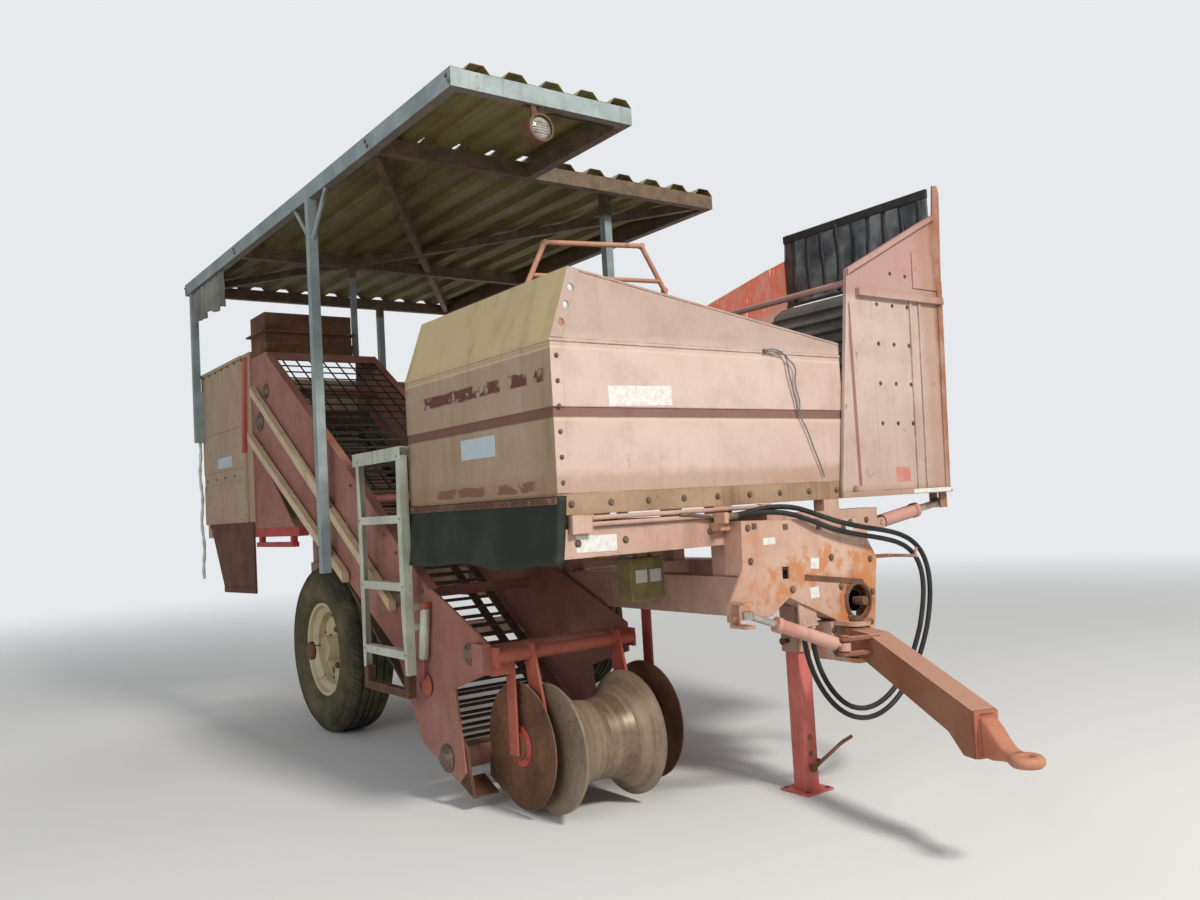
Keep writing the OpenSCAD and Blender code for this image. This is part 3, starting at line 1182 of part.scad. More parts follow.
main_frame();
headstock();
gearbox();
bunker();
bunker_sill();
bunker_floor();
rubber_skirt();
pipes();
web_sides();
web_rails();
digging_web();
web_mesh();
share();
roller_arms();
rear_frame();
rear_housing();
rear_flap();
rear_hopper();
picking_table();
fill_elevator();
guard_rail();
platform();
ladder();
step_frame();
canopy_frame();
canopy_sheets();
work_lamp();
roof_curtain();
tyre(-1);  // tyre_right
rim(-1);  // rim_right
tyre(1);  // tyre_left
rim(1);  // rim_left
ridge_roller();
disc(disc_right_x);  // disc_right
disc(disc_left_x);  // disc_left
drawbar();
hitch_eye();
steer_barrel();
steer_rod();
jack_leg();
boom_frame();
boom_belt();
boom_flap();
boom_barrel();
boom_rod();
hose_a();
hose_b();
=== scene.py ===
"""Looks of the trailed potato harvester: materials, soft pieces, rigging, fittings, lights and camera."""
import itertools
import json
import math
import random

import bpy
import numpy as np
from mathutils import Matrix, Vector, noise


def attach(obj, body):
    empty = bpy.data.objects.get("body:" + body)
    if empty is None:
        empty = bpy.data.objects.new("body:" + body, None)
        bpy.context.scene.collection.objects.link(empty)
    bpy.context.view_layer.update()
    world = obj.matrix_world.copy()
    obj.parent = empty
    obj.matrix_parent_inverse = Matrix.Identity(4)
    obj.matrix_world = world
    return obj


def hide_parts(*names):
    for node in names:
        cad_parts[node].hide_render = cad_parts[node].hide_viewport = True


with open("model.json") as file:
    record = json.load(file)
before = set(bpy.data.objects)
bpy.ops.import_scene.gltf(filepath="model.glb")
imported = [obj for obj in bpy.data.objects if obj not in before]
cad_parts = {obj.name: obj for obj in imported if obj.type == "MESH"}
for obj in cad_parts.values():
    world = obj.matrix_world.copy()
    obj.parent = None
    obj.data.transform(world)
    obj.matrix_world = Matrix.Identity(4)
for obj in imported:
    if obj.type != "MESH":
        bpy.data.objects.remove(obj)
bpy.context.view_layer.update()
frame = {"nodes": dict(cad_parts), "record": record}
nodes = frame["nodes"]
rng = random.Random(31)


# Camera at the photograph's viewing angle
def add_camera():
    yaw, pitch, roll = (math.radians(a) for a in (36.094, 3.153, -3.26))
    forward = Vector((math.sin(yaw) * math.cos(pitch), math.cos(yaw) * math.cos(pitch), math.sin(pitch)))
    level = Vector((math.cos(yaw), -math.sin(yaw), 0.0))
    upward = level.cross(forward)
    right = math.cos(roll) * level + math.sin(roll) * upward
    top = -math.sin(roll) * level + math.cos(roll) * upward
    data = bpy.data.cameras.new("camera")
    data.lens = 30.15
    data.sensor_width = 36.0
    data.clip_end = 200.0
    camera = bpy.data.objects.new("camera", data)
    turn = Matrix((right, top, -forward)).transposed()
    camera.matrix_world = Matrix.Translation((-3.20, -4.90, 1.28)) @ turn.to_4x4()
    bpy.context.scene.collection.objects.link(camera)
    bpy.context.scene.camera = camera


add_camera()


# A smooth curve through points, in short steps
def smooth_line(points, steps=4):
    pts = [Vector(p) for p in points]
    ends = [2 * pts[0] - pts[1]] + pts + [2 * pts[-1] - pts[-2]]
    line = []
    for i in range(1, len(ends) - 2):
        a, b, c, d = ends[i - 1:i + 3]
        for k in range(steps):
            t = k / steps
            line.append(0.5 * (2 * b + (c - a) * t + (2 * a - 5 * b + 4 * c - d) * t * t
                               + (3 * b - a - 3 * c + d) * t ** 3))
    line.append(pts[-1])
    return line


# A grid of points, from a function of two shares between 0 and 1: down the rows, then along the columns
def grid_of(rows, cols, point):
    return [[point(r / (rows - 1), c / (cols - 1)) for c in range(cols)] for r in range(rows)]


# Faces of a round skin over rows of points, with its two ends last
def skin(rows, sides):
    faces = []
    for k in range(0, (rows - 1) * sides, sides):
        for i in range(sides):
            j = (i + 1) % sides
            faces.append((k + i, k + j, k + sides + j, k + sides + i))
    last = (rows - 1) * sides
    return faces + [tuple(reversed(range(sides))), tuple(range(last, last + sides))]


# One mesh piece that many solids are gathered in, in metres in the machine's frame
class Piece:
    def __init__(self, name, body="chassis"):
        self.name = name
        self.body = body
        self.verts = []
        self.faces = []
        self.smooth = []

    def add(self, verts, faces, smooth=False):
        base = len(self.verts)
        self.verts += [tuple(v) for v in verts]
        self.faces += [tuple(base + i for i in f) for f in faces]
        self.smooth += [smooth] * len(faces)

    def box(self, x0, x1, y0, y1, z0, z1, chamfer=0.0):
        lo, hi = Vector((x0, y0, z0)), Vector((x1, y1, z1))
        self.block((lo + hi) / 2, (hi - lo) / 2, Matrix.Identity(3), chamfer)

    def block(self, centre, half, turn, chamfer=0.0):
        sides = [(0, 1, 3, 2), (4, 6, 7, 5), (0, 4, 5, 1), (2, 3, 7, 6), (0, 2, 6, 4), (1, 5, 7, 3)]
        c = min(chamfer, 0.45 * min(half))
        pts = []
        for signs in itertools.product((-1, 1), repeat=3):
            corner = Vector([s * h for s, h in zip(signs, half)])
            if c <= 0:
                pts.append(corner)
                continue
            for axis in range(3):
                q = Vector([s * (h - c) for s, h in zip(signs, half)])
                q[axis] = corner[axis]
                pts.append(q)
        world = [Vector(centre) + turn @ p for p in pts]
        if c <= 0:
            self.add(world, sides)
            return
        axes = [0, 0, 1, 1, 2, 2]
        faces = [tuple(3 * k + a for k in f) for f, a in zip(sides, axes)]
        owner = {}
        for f, a in zip(sides, axes):
            for u, v in zip(f, f[1:] + f[:1]):
                owner.setdefault(tuple(sorted((u, v))), []).append((u, v, a))
        for (u, v, a), (_, _, b) in owner.values():
            faces.append((3 * v + a, 3 * u + a, 3 * u + b, 3 * v + b))
        for k in range(8):
            corner = (3 * k, 3 * k + 1, 3 * k + 2)
            faces.append(corner if bin(k).count("1") % 2 else corner[::-1])
        self.add(world, faces)

    # A turned solid: rings of (distance along, radius) from a point in a direction
    def turned(self, start, direction, rings, sides=20, smooth=True, phase=0.0):
        axis = Vector(direction).normalized()
        u = axis.orthogonal().normalized()
        w = axis.cross(u)
        pts = []
        for along, radius in rings:
            for i in range(sides):
                t = 2 * math.pi * i / sides + phase
                pts.append(Vector(start) + axis * along + radius * (math.cos(t) * u + math.sin(t) * w))
        self.add(pts, skin(len(rings), sides), smooth)
        self.smooth[-2:] = [False, False]

    # A closed profile of (radius, distance along) turned round a hole, between two cross directions
    def ring(self, at, u, v, profile, sides, smooth=True):
        at, u, v = Vector(at), Vector(u), Vector(v)
        axis = u.cross(v)
        n = len(profile)
        pts, faces = [], []
        for i in range(sides):
            t = 2 * math.pi * i / sides
            pts += [at + (u * math.cos(t) + v * math.sin(t)) * r + axis * along for r, along in profile]
            j = (i + 1) % sides
            for k in range(n):
                m = (k + 1) % n
                faces.append((i * n + k, j * n + k, j * n + m, i * n + m))
        self.add(pts, faces, smooth)

    def rod(self, a, b, radius, sides=14):
        a, b = Vector(a), Vector(b)
        self.turned(a, b - a, [(0, radius), ((b - a).length, radius)], sides)

    # A hexagon head with its washer, standing out along an axis
    def bolt(self, at, direction, size=0.010, height=0.008, washer=True):
        at, d = Vector(at), Vector(direction).normalized()
        if washer:
            self.turned(at, d, [(-0.002, size * 1.35), (0.002, size * 1.35)], 16, False)
        turn = rng.uniform(0, 1)
        self.turned(at, d, [(0.0, size), (height * 0.8, size), (height, size * 0.82)], 6, False, turn)

    def bolts(self, a, b, count, direction, size=0.010, height=0.008):
        a, b = Vector(a), Vector(b)
        for i in range(count):
            self.bolt(a + (b - a) * (i / (count - 1)), direction, size, height)

    # A round tube along a line
    def tube(self, line, radius, sides=10):
        line = [Vector(p) for p in line]
        pts = []
        side = None
        for k, p in enumerate(line):
            t = (line[min(k + 1, len(line) - 1)] - line[max(k - 1, 0)]).normalized()
            side = t.orthogonal().normalized() if side is None else (side - t * side.dot(t)).normalized()
            w = t.cross(side)
            r = radius(k / (len(line) - 1)) if callable(radius) else radius
            for i in range(sides):
                q = 2 * math.pi * i / sides
                pts.append(p + r * (math.cos(q) * side + math.sin(q) * w))
        self.add(pts, skin(len(line), sides), True)

    # A grid of points with a thickness along each point's normal
    def sheet(self, grid, thick):
        rows, cols = len(grid), len(grid[0])
        flat = np.array([[list(p) for p in row] for row in grid], float)
        du = np.gradient(flat, axis=0)
        dv = np.gradient(flat, axis=1)
        normal = np.cross(du, dv)
        normal /= np.maximum(np.linalg.norm(normal, axis=2, keepdims=True), 1e-9)
        front = (flat + normal * thick / 2).reshape(-1, 3)
        back = (flat - normal * thick / 2).reshape(-1, 3)
        n = rows * cols
        faces = []
        for r in range(rows - 1):
            for c in range(cols - 1):
                a, b, d, e = r * cols + c, r * cols + c + 1, (r + 1) * cols + c + 1, (r + 1) * cols + c
                faces.append((a, e, d, b))
                faces.append((n + a, n + b, n + d, n + e))
        rim = (list(range(cols)) + [r * cols + cols - 1 for r in range(1, rows)]
               + [(rows - 1) * cols + c for c in range(cols - 2, -1, -1)]
               + [r * cols for r in range(rows - 2, 0, -1)])
        for i, a in enumerate(rim):
            b = rim[(i + 1) % len(rim)]
            faces.append((a, b, n + b, n + a))
        self.add(np.vstack([front, back]).tolist(), faces, True)

    def make(self, material):
        mesh = bpy.data.meshes.new(self.name)
        mesh.from_pydata(self.verts, [], self.faces)
        mesh.polygons.foreach_set("use_smooth", self.smooth)
        mesh.materials.append(material)
        mesh.validate()
        mesh.update()
        obj = bpy.data.objects.new(self.name, mesh)
        bpy.context.scene.collection.objects.link(obj)
        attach(obj, self.body)
        return obj


FRONT, BACK, RIGHT, LEFT = (0, -1, 0), (0, 1, 0), (-1, 0, 0), (1, 0, 0)
UP, DOWN = (0, 0, 1), (0, 0, -1)

# Planes and places of part.scad that fittings stand on, in metres
BUNKER_FRONT, HEAD_FRONT = -1.850, -1.950
BUNKER_SIDE, WEB_SIDE_X = -1.180, -1.140
TABLE_Y, TABLE_Z, FLOOR_Z, BEAM_LEFT = 0.450, 1.480, 1.060, 0.540
REAR_X0, REAR_X1, REAR_Y0, REAR_Y1, REAR_Z0, REAR_Z1 = -1.150, 0.560, 1.800, 3.000, 1.300, 2.430
PIVOT, SHAFT, DISC = (0.190, -2.030), (0.306, 0.800), (-1.19, 0.29)
WHEEL_X, WHEEL_Y, WHEEL_Z = 0.85, 1.15, 0.5
ROOF_SIDE, ROOF_TOP = -1.232, 3.134


# A procedural material, built from noises of the machine's own coordinates
class Mat:
    def __init__(self, name):
        self.mat = bpy.data.materials.new(name)
        self.mat.use_nodes = True
        self.tree = self.mat.node_tree
        self.tree.nodes.clear()
        self.bsdf = self.node("ShaderNodeBsdfPrincipled")
        self.out = self.node("ShaderNodeOutputMaterial")
        self.link(self.bsdf.outputs[0], self.out.inputs[0])
        self.coord = self.node("ShaderNodeTexCoord")

    def node(self, kind, **values):
        n = self.tree.nodes.new(kind)
        for key, value in values.items():
            setattr(n, key, value)
        return n

    def link(self, a, b):
        self.tree.links.new(a, b)

    def feed(self, socket, value):
        if isinstance(value, bpy.types.NodeSocket):
            self.link(value, socket)
        elif isinstance(value, (tuple, list)) and len(socket.default_value) == 4:
            socket.default_value = (*value[:3], 1.0)
        else:
            socket.default_value = value

    def noise(self, scale, detail=4.0, rough=0.6, stretch=(1, 1, 1), shift=0.0):
        mapping = self.node("ShaderNodeMapping")
        self.link(self.coord.outputs["Object"], mapping.inputs["Vector"])
        mapping.inputs["Scale"].default_value = stretch
        mapping.inputs["Location"].default_value = (shift, shift * 0.7, shift * 1.3)
        n = self.node("ShaderNodeTexNoise")
        self.link(mapping.outputs[0], n.inputs["Vector"])
        for key, value in (("Scale", scale), ("Detail", detail), ("Roughness", rough)):
            n.inputs[key].default_value = value
        return n.outputs["Fac"]

    def split(self, output, letter):
        n = self.node("ShaderNodeSeparateXYZ")
        self.link(self.coord.outputs[output], n.inputs[0])
        return n.outputs["xyz".index(letter)]

    def axis(self, letter):
        return self.split("Object", letter)

    def facing(self, letter):
        return self.split("Normal", letter)

    def step(self, source, low, high, to_low=0.0, to_high=1.0):
        n = self.node("ShaderNodeMapRange", interpolation_type="SMOOTHSTEP")
        self.feed(n.inputs["Value"], source)
        for key, value in (("From Min", low), ("From Max", high), ("To Min", to_low), ("To Max", to_high)):
            n.inputs[key].default_value = value
        return n.outputs["Result"]

    def math(self, kind, a, b=0.0):
        n = self.node("ShaderNodeMath", operation=kind)
        self.feed(n.inputs[0], a)
        self.feed(n.inputs[1], b)
        return n.outputs[0]

    def times(self, first, *others):
        for other in others:
            first = self.math("MULTIPLY", first, other)
        return first

    def plus(self, a, b):
        return self.math("ADD", a, b)

    def minus(self, a, b):
        return self.math("SUBTRACT", a, b)

    def most(self, a, b):
        return self.math("MAXIMUM", a, b)

    def mix(self, share, a, b):
        n = self.node("ShaderNodeMix", data_type="RGBA")
        self.feed(n.inputs[0], share)
        self.feed(n.inputs[6], a)
        self.feed(n.inputs[7], b)
        return n.outputs[2]

    # 1 between two values, with soft ends
    def band(self, source, low, high, soft):
        rise = self.step(source, low - soft, low + soft)
        fall = self.step(source, high + soft, high - soft)
        return self.times(rise, fall)

    # 1 near sharp edges, 0 elsewhere
    def edges(self, radius):
        bevel = self.node("ShaderNodeBevel", samples=4)
        bevel.inputs["Radius"].default_value = radius
        face = self.node("ShaderNodeNewGeometry")
        dot = self.node("ShaderNodeVectorMath", operation="DOT_PRODUCT")
        self.link(bevel.outputs[0], dot.inputs[0])
        self.link(face.outputs["Normal"], dot.inputs[1])
        return self.step(dot.outputs["Value"], 0.995, 0.80)

    def bump(self, height, strength, distance, before=None):
        n = self.node("ShaderNodeBump")
        n.inputs["Strength"].default_value = strength
        n.inputs["Distance"].default_value = distance
        self.link(height, n.inputs["Height"])
        if before is not None:
            self.link(before, n.inputs["Normal"])
        return n.outputs[0]

    def finish(self, colour, rough, normal=None, metal=0.0, **inputs):
        self.feed(self.bsdf.inputs["Base Color"], colour)
        self.feed(self.bsdf.inputs["Roughness"], rough)
        self.feed(self.bsdf.inputs["Metallic"], metal)
        if normal is not None:
            self.link(normal, self.bsdf.inputs["Normal"])
        for key, value in inputs.items():
            self.bsdf.inputs[key.replace("_", " ")].default_value = value
        return self.mat


DARK_RUST = (0.075, 0.030, 0.015)
BRIGHT_RUST = (0.26, 0.095, 0.032)


# Old paint: faded patches, stains that run down, chips and edges gone to rust
def worn_base(name, main, faded, stain, rust, edge, streak, dent, shift, coarse):
    m = Mat(name)
    large = m.noise(1.1 * coarse, 5, 0.55, shift=shift)
    middle = m.noise(6.5, 6, 0.65, shift=shift + 3)
    fine = m.noise(70, 4, 0.7, shift=shift)
    colour = m.mix(m.step(large, 0.34, 0.68), main, faded)
    colour = m.mix(m.times(m.step(middle, 0.42, 0.75), 0.35), colour, stain)
    runs = m.noise(1.0, 5, 0.62, stretch=(16, 16, 0.7), shift=shift)
    wash = m.noise(2.3, 3, 0.5, shift=shift + 7)
    down = m.times(m.step(runs, 0.50, 0.72), m.step(wash, 0.35, 0.62, 0.15, 1.0))
    colour = m.mix(m.times(down, streak), colour, stain)
    rusty = m.mix(m.noise(28, 5, 0.7, shift=shift), DARK_RUST, BRIGHT_RUST)
    chips = m.times(m.step(m.noise(9, 9, 0.72, shift=shift + 11), 0.60, 0.665),
                    m.step(m.noise(1.7, 3, 0.5, shift=shift + 5), 0.46, 0.62))
    rim = m.times(m.edges(0.007), m.step(m.noise(13, 6, 0.7, shift=shift + 2), 0.40, 0.58))
    bare = m.most(m.times(chips, rust), m.times(rim, edge))
    colour = m.mix(bare, colour, rusty)
    colour = m.mix(m.times(m.step(fine, 0.45, 0.8), 0.16), colour, stain)
    height = m.bump(large, 0.6, dent)
    height = m.bump(m.minus(fine, bare), 0.25, 0.0012, height)
    return m, colour, height


def worn_paint(name, main, faded, stain, rust, edge, streak, dent, shift, coarse):
    m, colour, height = worn_base(name, main, faded, stain, rust, edge, streak, dent, shift, coarse)
    rough_map = m.step(m.noise(6.5, 4, 0.6, shift=shift + 3), 0.3, 0.75, 0.52, 0.78)
    return m.finish(colour, rough_map, height, Specular_IOR_Level=0.35)


# Bare steel gone to rust, with its edges rubbed bright
def rusted(name, dark, light, polish=0.0, rough=0.78, bands=None, shift=0.0):
    m = Mat(name)
    a = m.noise(3.2, 8, 0.68, shift=shift)
    b = m.noise(34, 6, 0.75, shift=shift + 4)
    colour = m.mix(m.step(a, 0.35, 0.66), dark, light)
    colour = m.mix(m.times(m.step(b, 0.45, 0.70), 0.5), colour, tuple(c * 0.45 for c in dark))
    if bands:
        rings = m.noise(1.0, 5, 0.6, stretch=bands, shift=shift)
        colour = m.mix(m.times(m.step(rings, 0.42, 0.66), 0.55), colour, tuple(c * 1.5 for c in light))
    rub = m.times(m.edges(0.006), m.step(b, 0.35, 0.6), polish)
    colour = m.mix(rub, colour, (0.42, 0.38, 0.34))
    height = m.bump(b, 0.45, 0.0016, m.bump(a, 0.3, 0.003))
    return m.finish(colour, m.step(a, 0.2, 0.8, rough - 0.12, rough + 0.12), height, metal=0.25,
                    Specular_IOR_Level=0.35)


def zinc(name, light, dark, shift=0.0):
    m = Mat(name)
    cell = m.node("ShaderNodeTexVoronoi", feature="F1")
    m.link(m.coord.outputs["Object"], cell.inputs["Vector"])
    cell.inputs["Scale"].default_value = 55
    cloud = m.noise(5, 6, 0.65, shift=shift)
    runs = m.noise(1.0, 5, 0.6, stretch=(22, 22, 1.2), shift=shift + 1)
    colour = m.mix(m.step(cloud, 0.32, 0.7), dark, light)
    colour = m.mix(m.times(cell.outputs["Distance"], 0.35), colour, dark)
    colour = m.mix(m.times(m.step(runs, 0.56, 0.74), 0.5), colour, (0.19, 0.12, 0.07))
    spots = m.step(m.noise(17, 8, 0.72, shift=shift + 6), 0.62, 0.68)
    colour = m.mix(m.times(spots, 0.75), colour, BRIGHT_RUST)
    height = m.bump(m.noise(90, 3, 0.6), 0.2, 0.0008)
    return m.finish(colour, m.step(cloud, 0.3, 0.7, 0.42, 0.62), height, metal=0.15)


# Corrugated roof sheet: zinc gone brown and green, its dark olive partly painted shade; faces turned up are
# painted pale grey as painted light
def roof_sheet(name):
    m = Mat(name)
    cloud = m.noise(1.4, 7, 0.62)
    runs = m.noise(1.0, 6, 0.62, stretch=(30, 0.9, 30))
    colour = m.mix(m.step(cloud, 0.32, 0.68), (0.215, 0.175, 0.050), (0.140, 0.110, 0.028))
    colour = m.mix(m.times(m.step(runs, 0.46, 0.70), 0.6), colour, (0.070, 0.052, 0.016))
    colour = m.mix(m.times(m.step(m.noise(9, 7, 0.7, shift=4), 0.58, 0.68), 0.7), colour,
                   (0.17, 0.075, 0.030))
    # Painted light and shade: faces turned up are mixed pale grey, the rest keeps the dark olive of painted
    # shade
    painted_light_top = m.step(m.facing("z"), 0.2, 0.7)
    colour = m.mix(m.times(painted_light_top, 0.65), colour, (0.47, 0.47, 0.42))
    height = m.bump(m.noise(45, 4, 0.6), 0.25, 0.001)
    return m.finish(colour, m.step(cloud, 0.3, 0.7, 0.5, 0.72), height, metal=0.15)


def rubber(name, colour, dust, shift, rough):
    m = Mat(name)
    cloud = m.noise(4.0, 7, 0.65, shift=shift)
    fine = m.noise(120, 3, 0.6, shift=shift)
    shade = m.mix(m.times(m.step(cloud, 0.40, 0.75), 0.75), colour, dust)
    height = m.bump(fine, 0.3, 0.0008, m.bump(cloud, 0.25, 0.003))
    return m.finish(shade, m.step(cloud, 0.3, 0.8, rough - 0.15, rough + 0.15), height,
                    Specular_IOR_Level=0.3)


# Tyre: blocks pressed round the tread, ribs and dust on the wall
def tyre_rubber(name, x_centre):
    m = Mat(name)
    y = m.minus(m.axis("y"), WHEEL_Y)
    z = m.minus(m.axis("z"), WHEEL_Z)
    reach = m.math("SQRT", m.plus(m.times(y, y), m.times(z, z)))
    angle = m.math("ARCTAN2", z, y)
    across = m.math("ABSOLUTE", m.minus(m.axis("x"), x_centre))
    slant = m.plus(m.times(angle, 46), m.times(across, 60))
    blocks = m.step(m.math("SINE", slant), -0.35, 0.15)
    tread = m.times(m.step(reach, 0.468, 0.480), blocks)
    fins = m.times(m.step(m.math("SINE", m.times(reach, 640)), 0.2, 0.9),
                   m.times(m.step(reach, 0.40, 0.41), m.step(reach, 0.462, 0.452)))
    cloud = m.noise(5, 7, 0.66, shift=2)
    dust = m.plus(m.step(cloud, 0.38, 0.7, 0.10, 0.60), m.step(reach, 0.47, 0.38, 0.0, 0.30))
    colour = m.mix(dust, (0.020, 0.019, 0.014), (0.155, 0.125, 0.060))
    height = m.bump(m.noise(150, 3, 0.6), 0.25, 0.0008, m.bump(fins, 0.6, 0.002, m.bump(tread, 0.9, 0.009)))
    return m.finish(colour, 0.78, height, Specular_IOR_Level=0.3)


def plain(name, colour, other, rough, scale=14, metal=0.0, **inputs):
    m = Mat(name)
    cloud = m.noise(scale, 6, 0.65)
    shade = m.mix(m.step(cloud, 0.35, 0.75), colour, other)
    height = m.bump(m.noise(scale * 9, 3, 0.6), 0.2, 0.0006)
    return m.finish(shade, rough, height, metal=metal, **inputs)


def woven(name, colour, dirt):
    m = Mat(name)
    threads = 840
    weave = m.times(m.math("SINE", m.times(m.axis("y"), threads)),
                    m.math("SINE", m.times(m.axis("z"), threads)))
    cloud = m.noise(3.5, 7, 0.66)
    runs = m.noise(1.0, 5, 0.6, stretch=(14, 14, 1.0))
    shade = m.mix(m.step(cloud, 0.35, 0.7), colour, dirt)
    shade = m.mix(m.times(m.step(runs, 0.5, 0.72), 0.5), shade, dirt)
    height = m.bump(weave, 0.25, 0.0008, m.bump(cloud, 0.4, 0.006))
    return m.finish(shade, 0.82, height, Sheen_Weight=0.15)


# Dark film, half seen through
def film(name):
    m = Mat(name)
    cloud = m.noise(5.0, 6, 0.6)
    shade = m.mix(m.step(cloud, 0.35, 0.7), (0.030, 0.034, 0.042), (0.085, 0.090, 0.095))
    height = m.bump(m.noise(8, 3, 0.5), 0.5, 0.01)
    m.finish(shade, 0.22, height)
    m.feed(m.bsdf.inputs["Alpha"], m.step(cloud, 0.35, 0.75, 0.86, 0.62))
    return m.mat


# Worn paints: main, faded and stain colours, then rust, edge, streak, dent, shift and coarseness
PAINTS = {
    "pink": ((0.45, 0.262, 0.205), (0.56, 0.385, 0.315), (0.22, 0.13, 0.08), 0.75, 0.9, 0.40, 0.004, 0, 1),
    "web_side": ((0.31, 0.112, 0.085), (0.37, 0.18, 0.14), (0.12, 0.07, 0.042), 0.95, 0.8, 0.45, 0.004, 4, 1),
    "rear": ((0.42, 0.28, 0.20), (0.44, 0.34, 0.22), (0.27, 0.21, 0.10), 0.45, 0.7, 0.45, 0.004, 6, 1),
    "red": ((0.33, 0.055, 0.04), (0.42, 0.12, 0.08), (0.12, 0.05, 0.03), 0.9, 0.9, 0.3, 0.002, 10, 1),
    "orange": ((0.50, 0.19, 0.11), (0.56, 0.30, 0.20), (0.25, 0.10, 0.05), 0.9, 0.9, 0.3, 0.002, 12, 1),
    "cream": ((0.56, 0.415, 0.255), (0.62, 0.49, 0.33), (0.28, 0.15, 0.08), 0.8, 0.8, 0.4, 0.002, 14, 1),
    "sill": ((0.30, 0.190, 0.118), (0.385, 0.265, 0.17), (0.16, 0.066, 0.032), 1, 1, 0.65, 0.002, 22, 2.5),
    "jack": ((0.56, 0.125, 0.105), (0.62, 0.210, 0.175), (0.17, 0.06, 0.04), 0.9, 0.9, 0.3, 0.002, 24, 1),
    "post": ((0.44, 0.060, 0.045), (0.50, 0.14, 0.10), (0.16, 0.05, 0.03), 0.9, 0.9, 0.3, 0.002, 26, 1),
    "cylinder": ((0.50, 0.235, 0.185), (0.56, 0.32, 0.26), (0.28, 0.10, 0.06), 0.8, 0.8, 0.3, 0.001, 28, 3),
    "flap": ((0.110, 0.036, 0.018), (0.145, 0.062, 0.032), (0.060, 0.034, 0.014), 1, 0.9, 0.6, 0.004, 30, 1),
    "rim": ((0.56, 0.48, 0.29), (0.62, 0.55, 0.38), (0.24, 0.13, 0.07), 1, 1, 0.2, 0.001, 16, 1),
    "hitch": ((0.42, 0.13, 0.075), (0.50, 0.23, 0.14), (0.20, 0.08, 0.04), 0.9, 0.9, 0.2, 0.001, 20, 3),
}
PAINT = {name: worn_paint(name + "_paint_worn", *row) for name, row in PAINTS.items()}
ZINC = zinc("galvanised_steel", (0.38, 0.44, 0.42), (0.24, 0.29, 0.27))
# Zinc of the ladder and the depth cylinder, paler than the other zinc, partly painted sky light
PAINTED_LIGHT_ZINC = zinc("ladder_zinc_painted_light", (0.62, 0.64, 0.54), (0.42, 0.43, 0.34), 5.0)
ROOF = roof_sheet("roof_sheet_weathered_and_shaded")
RUST = rusted("rusted_steel", (0.10, 0.045, 0.025), (0.22, 0.105, 0.055), polish=0.5)
ROLLER = rusted("roller_steel", (0.150, 0.098, 0.062), (0.255, 0.190, 0.132), polish=0.6, rough=0.44,
                bands=(26, 1.0, 1.0), shift=3)
WEB_STEEL = rusted("web_steel", (0.085, 0.05, 0.035), (0.17, 0.10, 0.065), polish=0.6, shift=6)
CHROME = plain("cylinder_chrome", (0.52, 0.48, 0.43), (0.27, 0.17, 0.11), 0.34, 12, metal=0.7)
STEEL = plain("bolt_steel", (0.21, 0.16, 0.12), (0.12, 0.07, 0.045), 0.55, 60, metal=0.55)
TYRE_R = tyre_rubber("tyre_rubber_right", -WHEEL_X)
TYRE_L = tyre_rubber("tyre_rubber_left", WHEEL_X)
NET = plain("net_green", (0.004, 0.024, 0.016), (0.010, 0.024, 0.014), 0.7, 20)
HOSE = rubber("hose_rubber", (0.014, 0.014, 0.014), (0.05, 0.046, 0.04), 1.0, 0.55)
SKIRT = rubber("skirt_rubber", (0.015, 0.018, 0.014), (0.050, 0.052, 0.038), 4.0, 0.66)
BELT = rubber("belt_rubber", (0.05, 0.048, 0.045), (0.13, 0.12, 0.105), 7.0, 0.8)
BOARD = rubber("board_plastic", (0.125, 0.120, 0.112), (0.070, 0.064, 0.056), 9.0, 0.7)
BLACK = plain("black_plastic", (0.020, 0.020, 0.020), (0.045, 0.042, 0.038), 0.55, 30)
WHITE = plain("white_plate", (0.74, 0.73, 0.70), (0.55, 0.52, 0.46), 0.5, 40)
PALE_BLUE = plain("pale_blue_plate", (0.42, 0.52, 0.58), (0.52, 0.56, 0.56), 0.5, 40)
GLASS = plain("lamp_glass", (0.34, 0.33, 0.29), (0.20, 0.17, 0.13), 0.16, 30, Coat_Weight=0.6)
CURTAIN = woven("curtain_cloth", (0.24, 0.245, 0.20), (0.12, 0.12, 0.09))
FILM = film("dark_film")
RED_GLASS = plain("red_lamp_glass", (0.34, 0.02, 0.015), (0.24, 0.03, 0.02), 0.18, 30, Coat_Weight=0.5)
OLIVE = plain("olive_box", (0.26, 0.22, 0.085), (0.15, 0.11, 0.045), 0.6, 12)
FOAM = plain("white_foam", (0.72, 0.72, 0.68), (0.45, 0.44, 0.38), 0.9, 25)
ROPE = plain("rope_fibre", (0.20, 0.21, 0.20), (0.10, 0.10, 0.09), 0.9, 90)


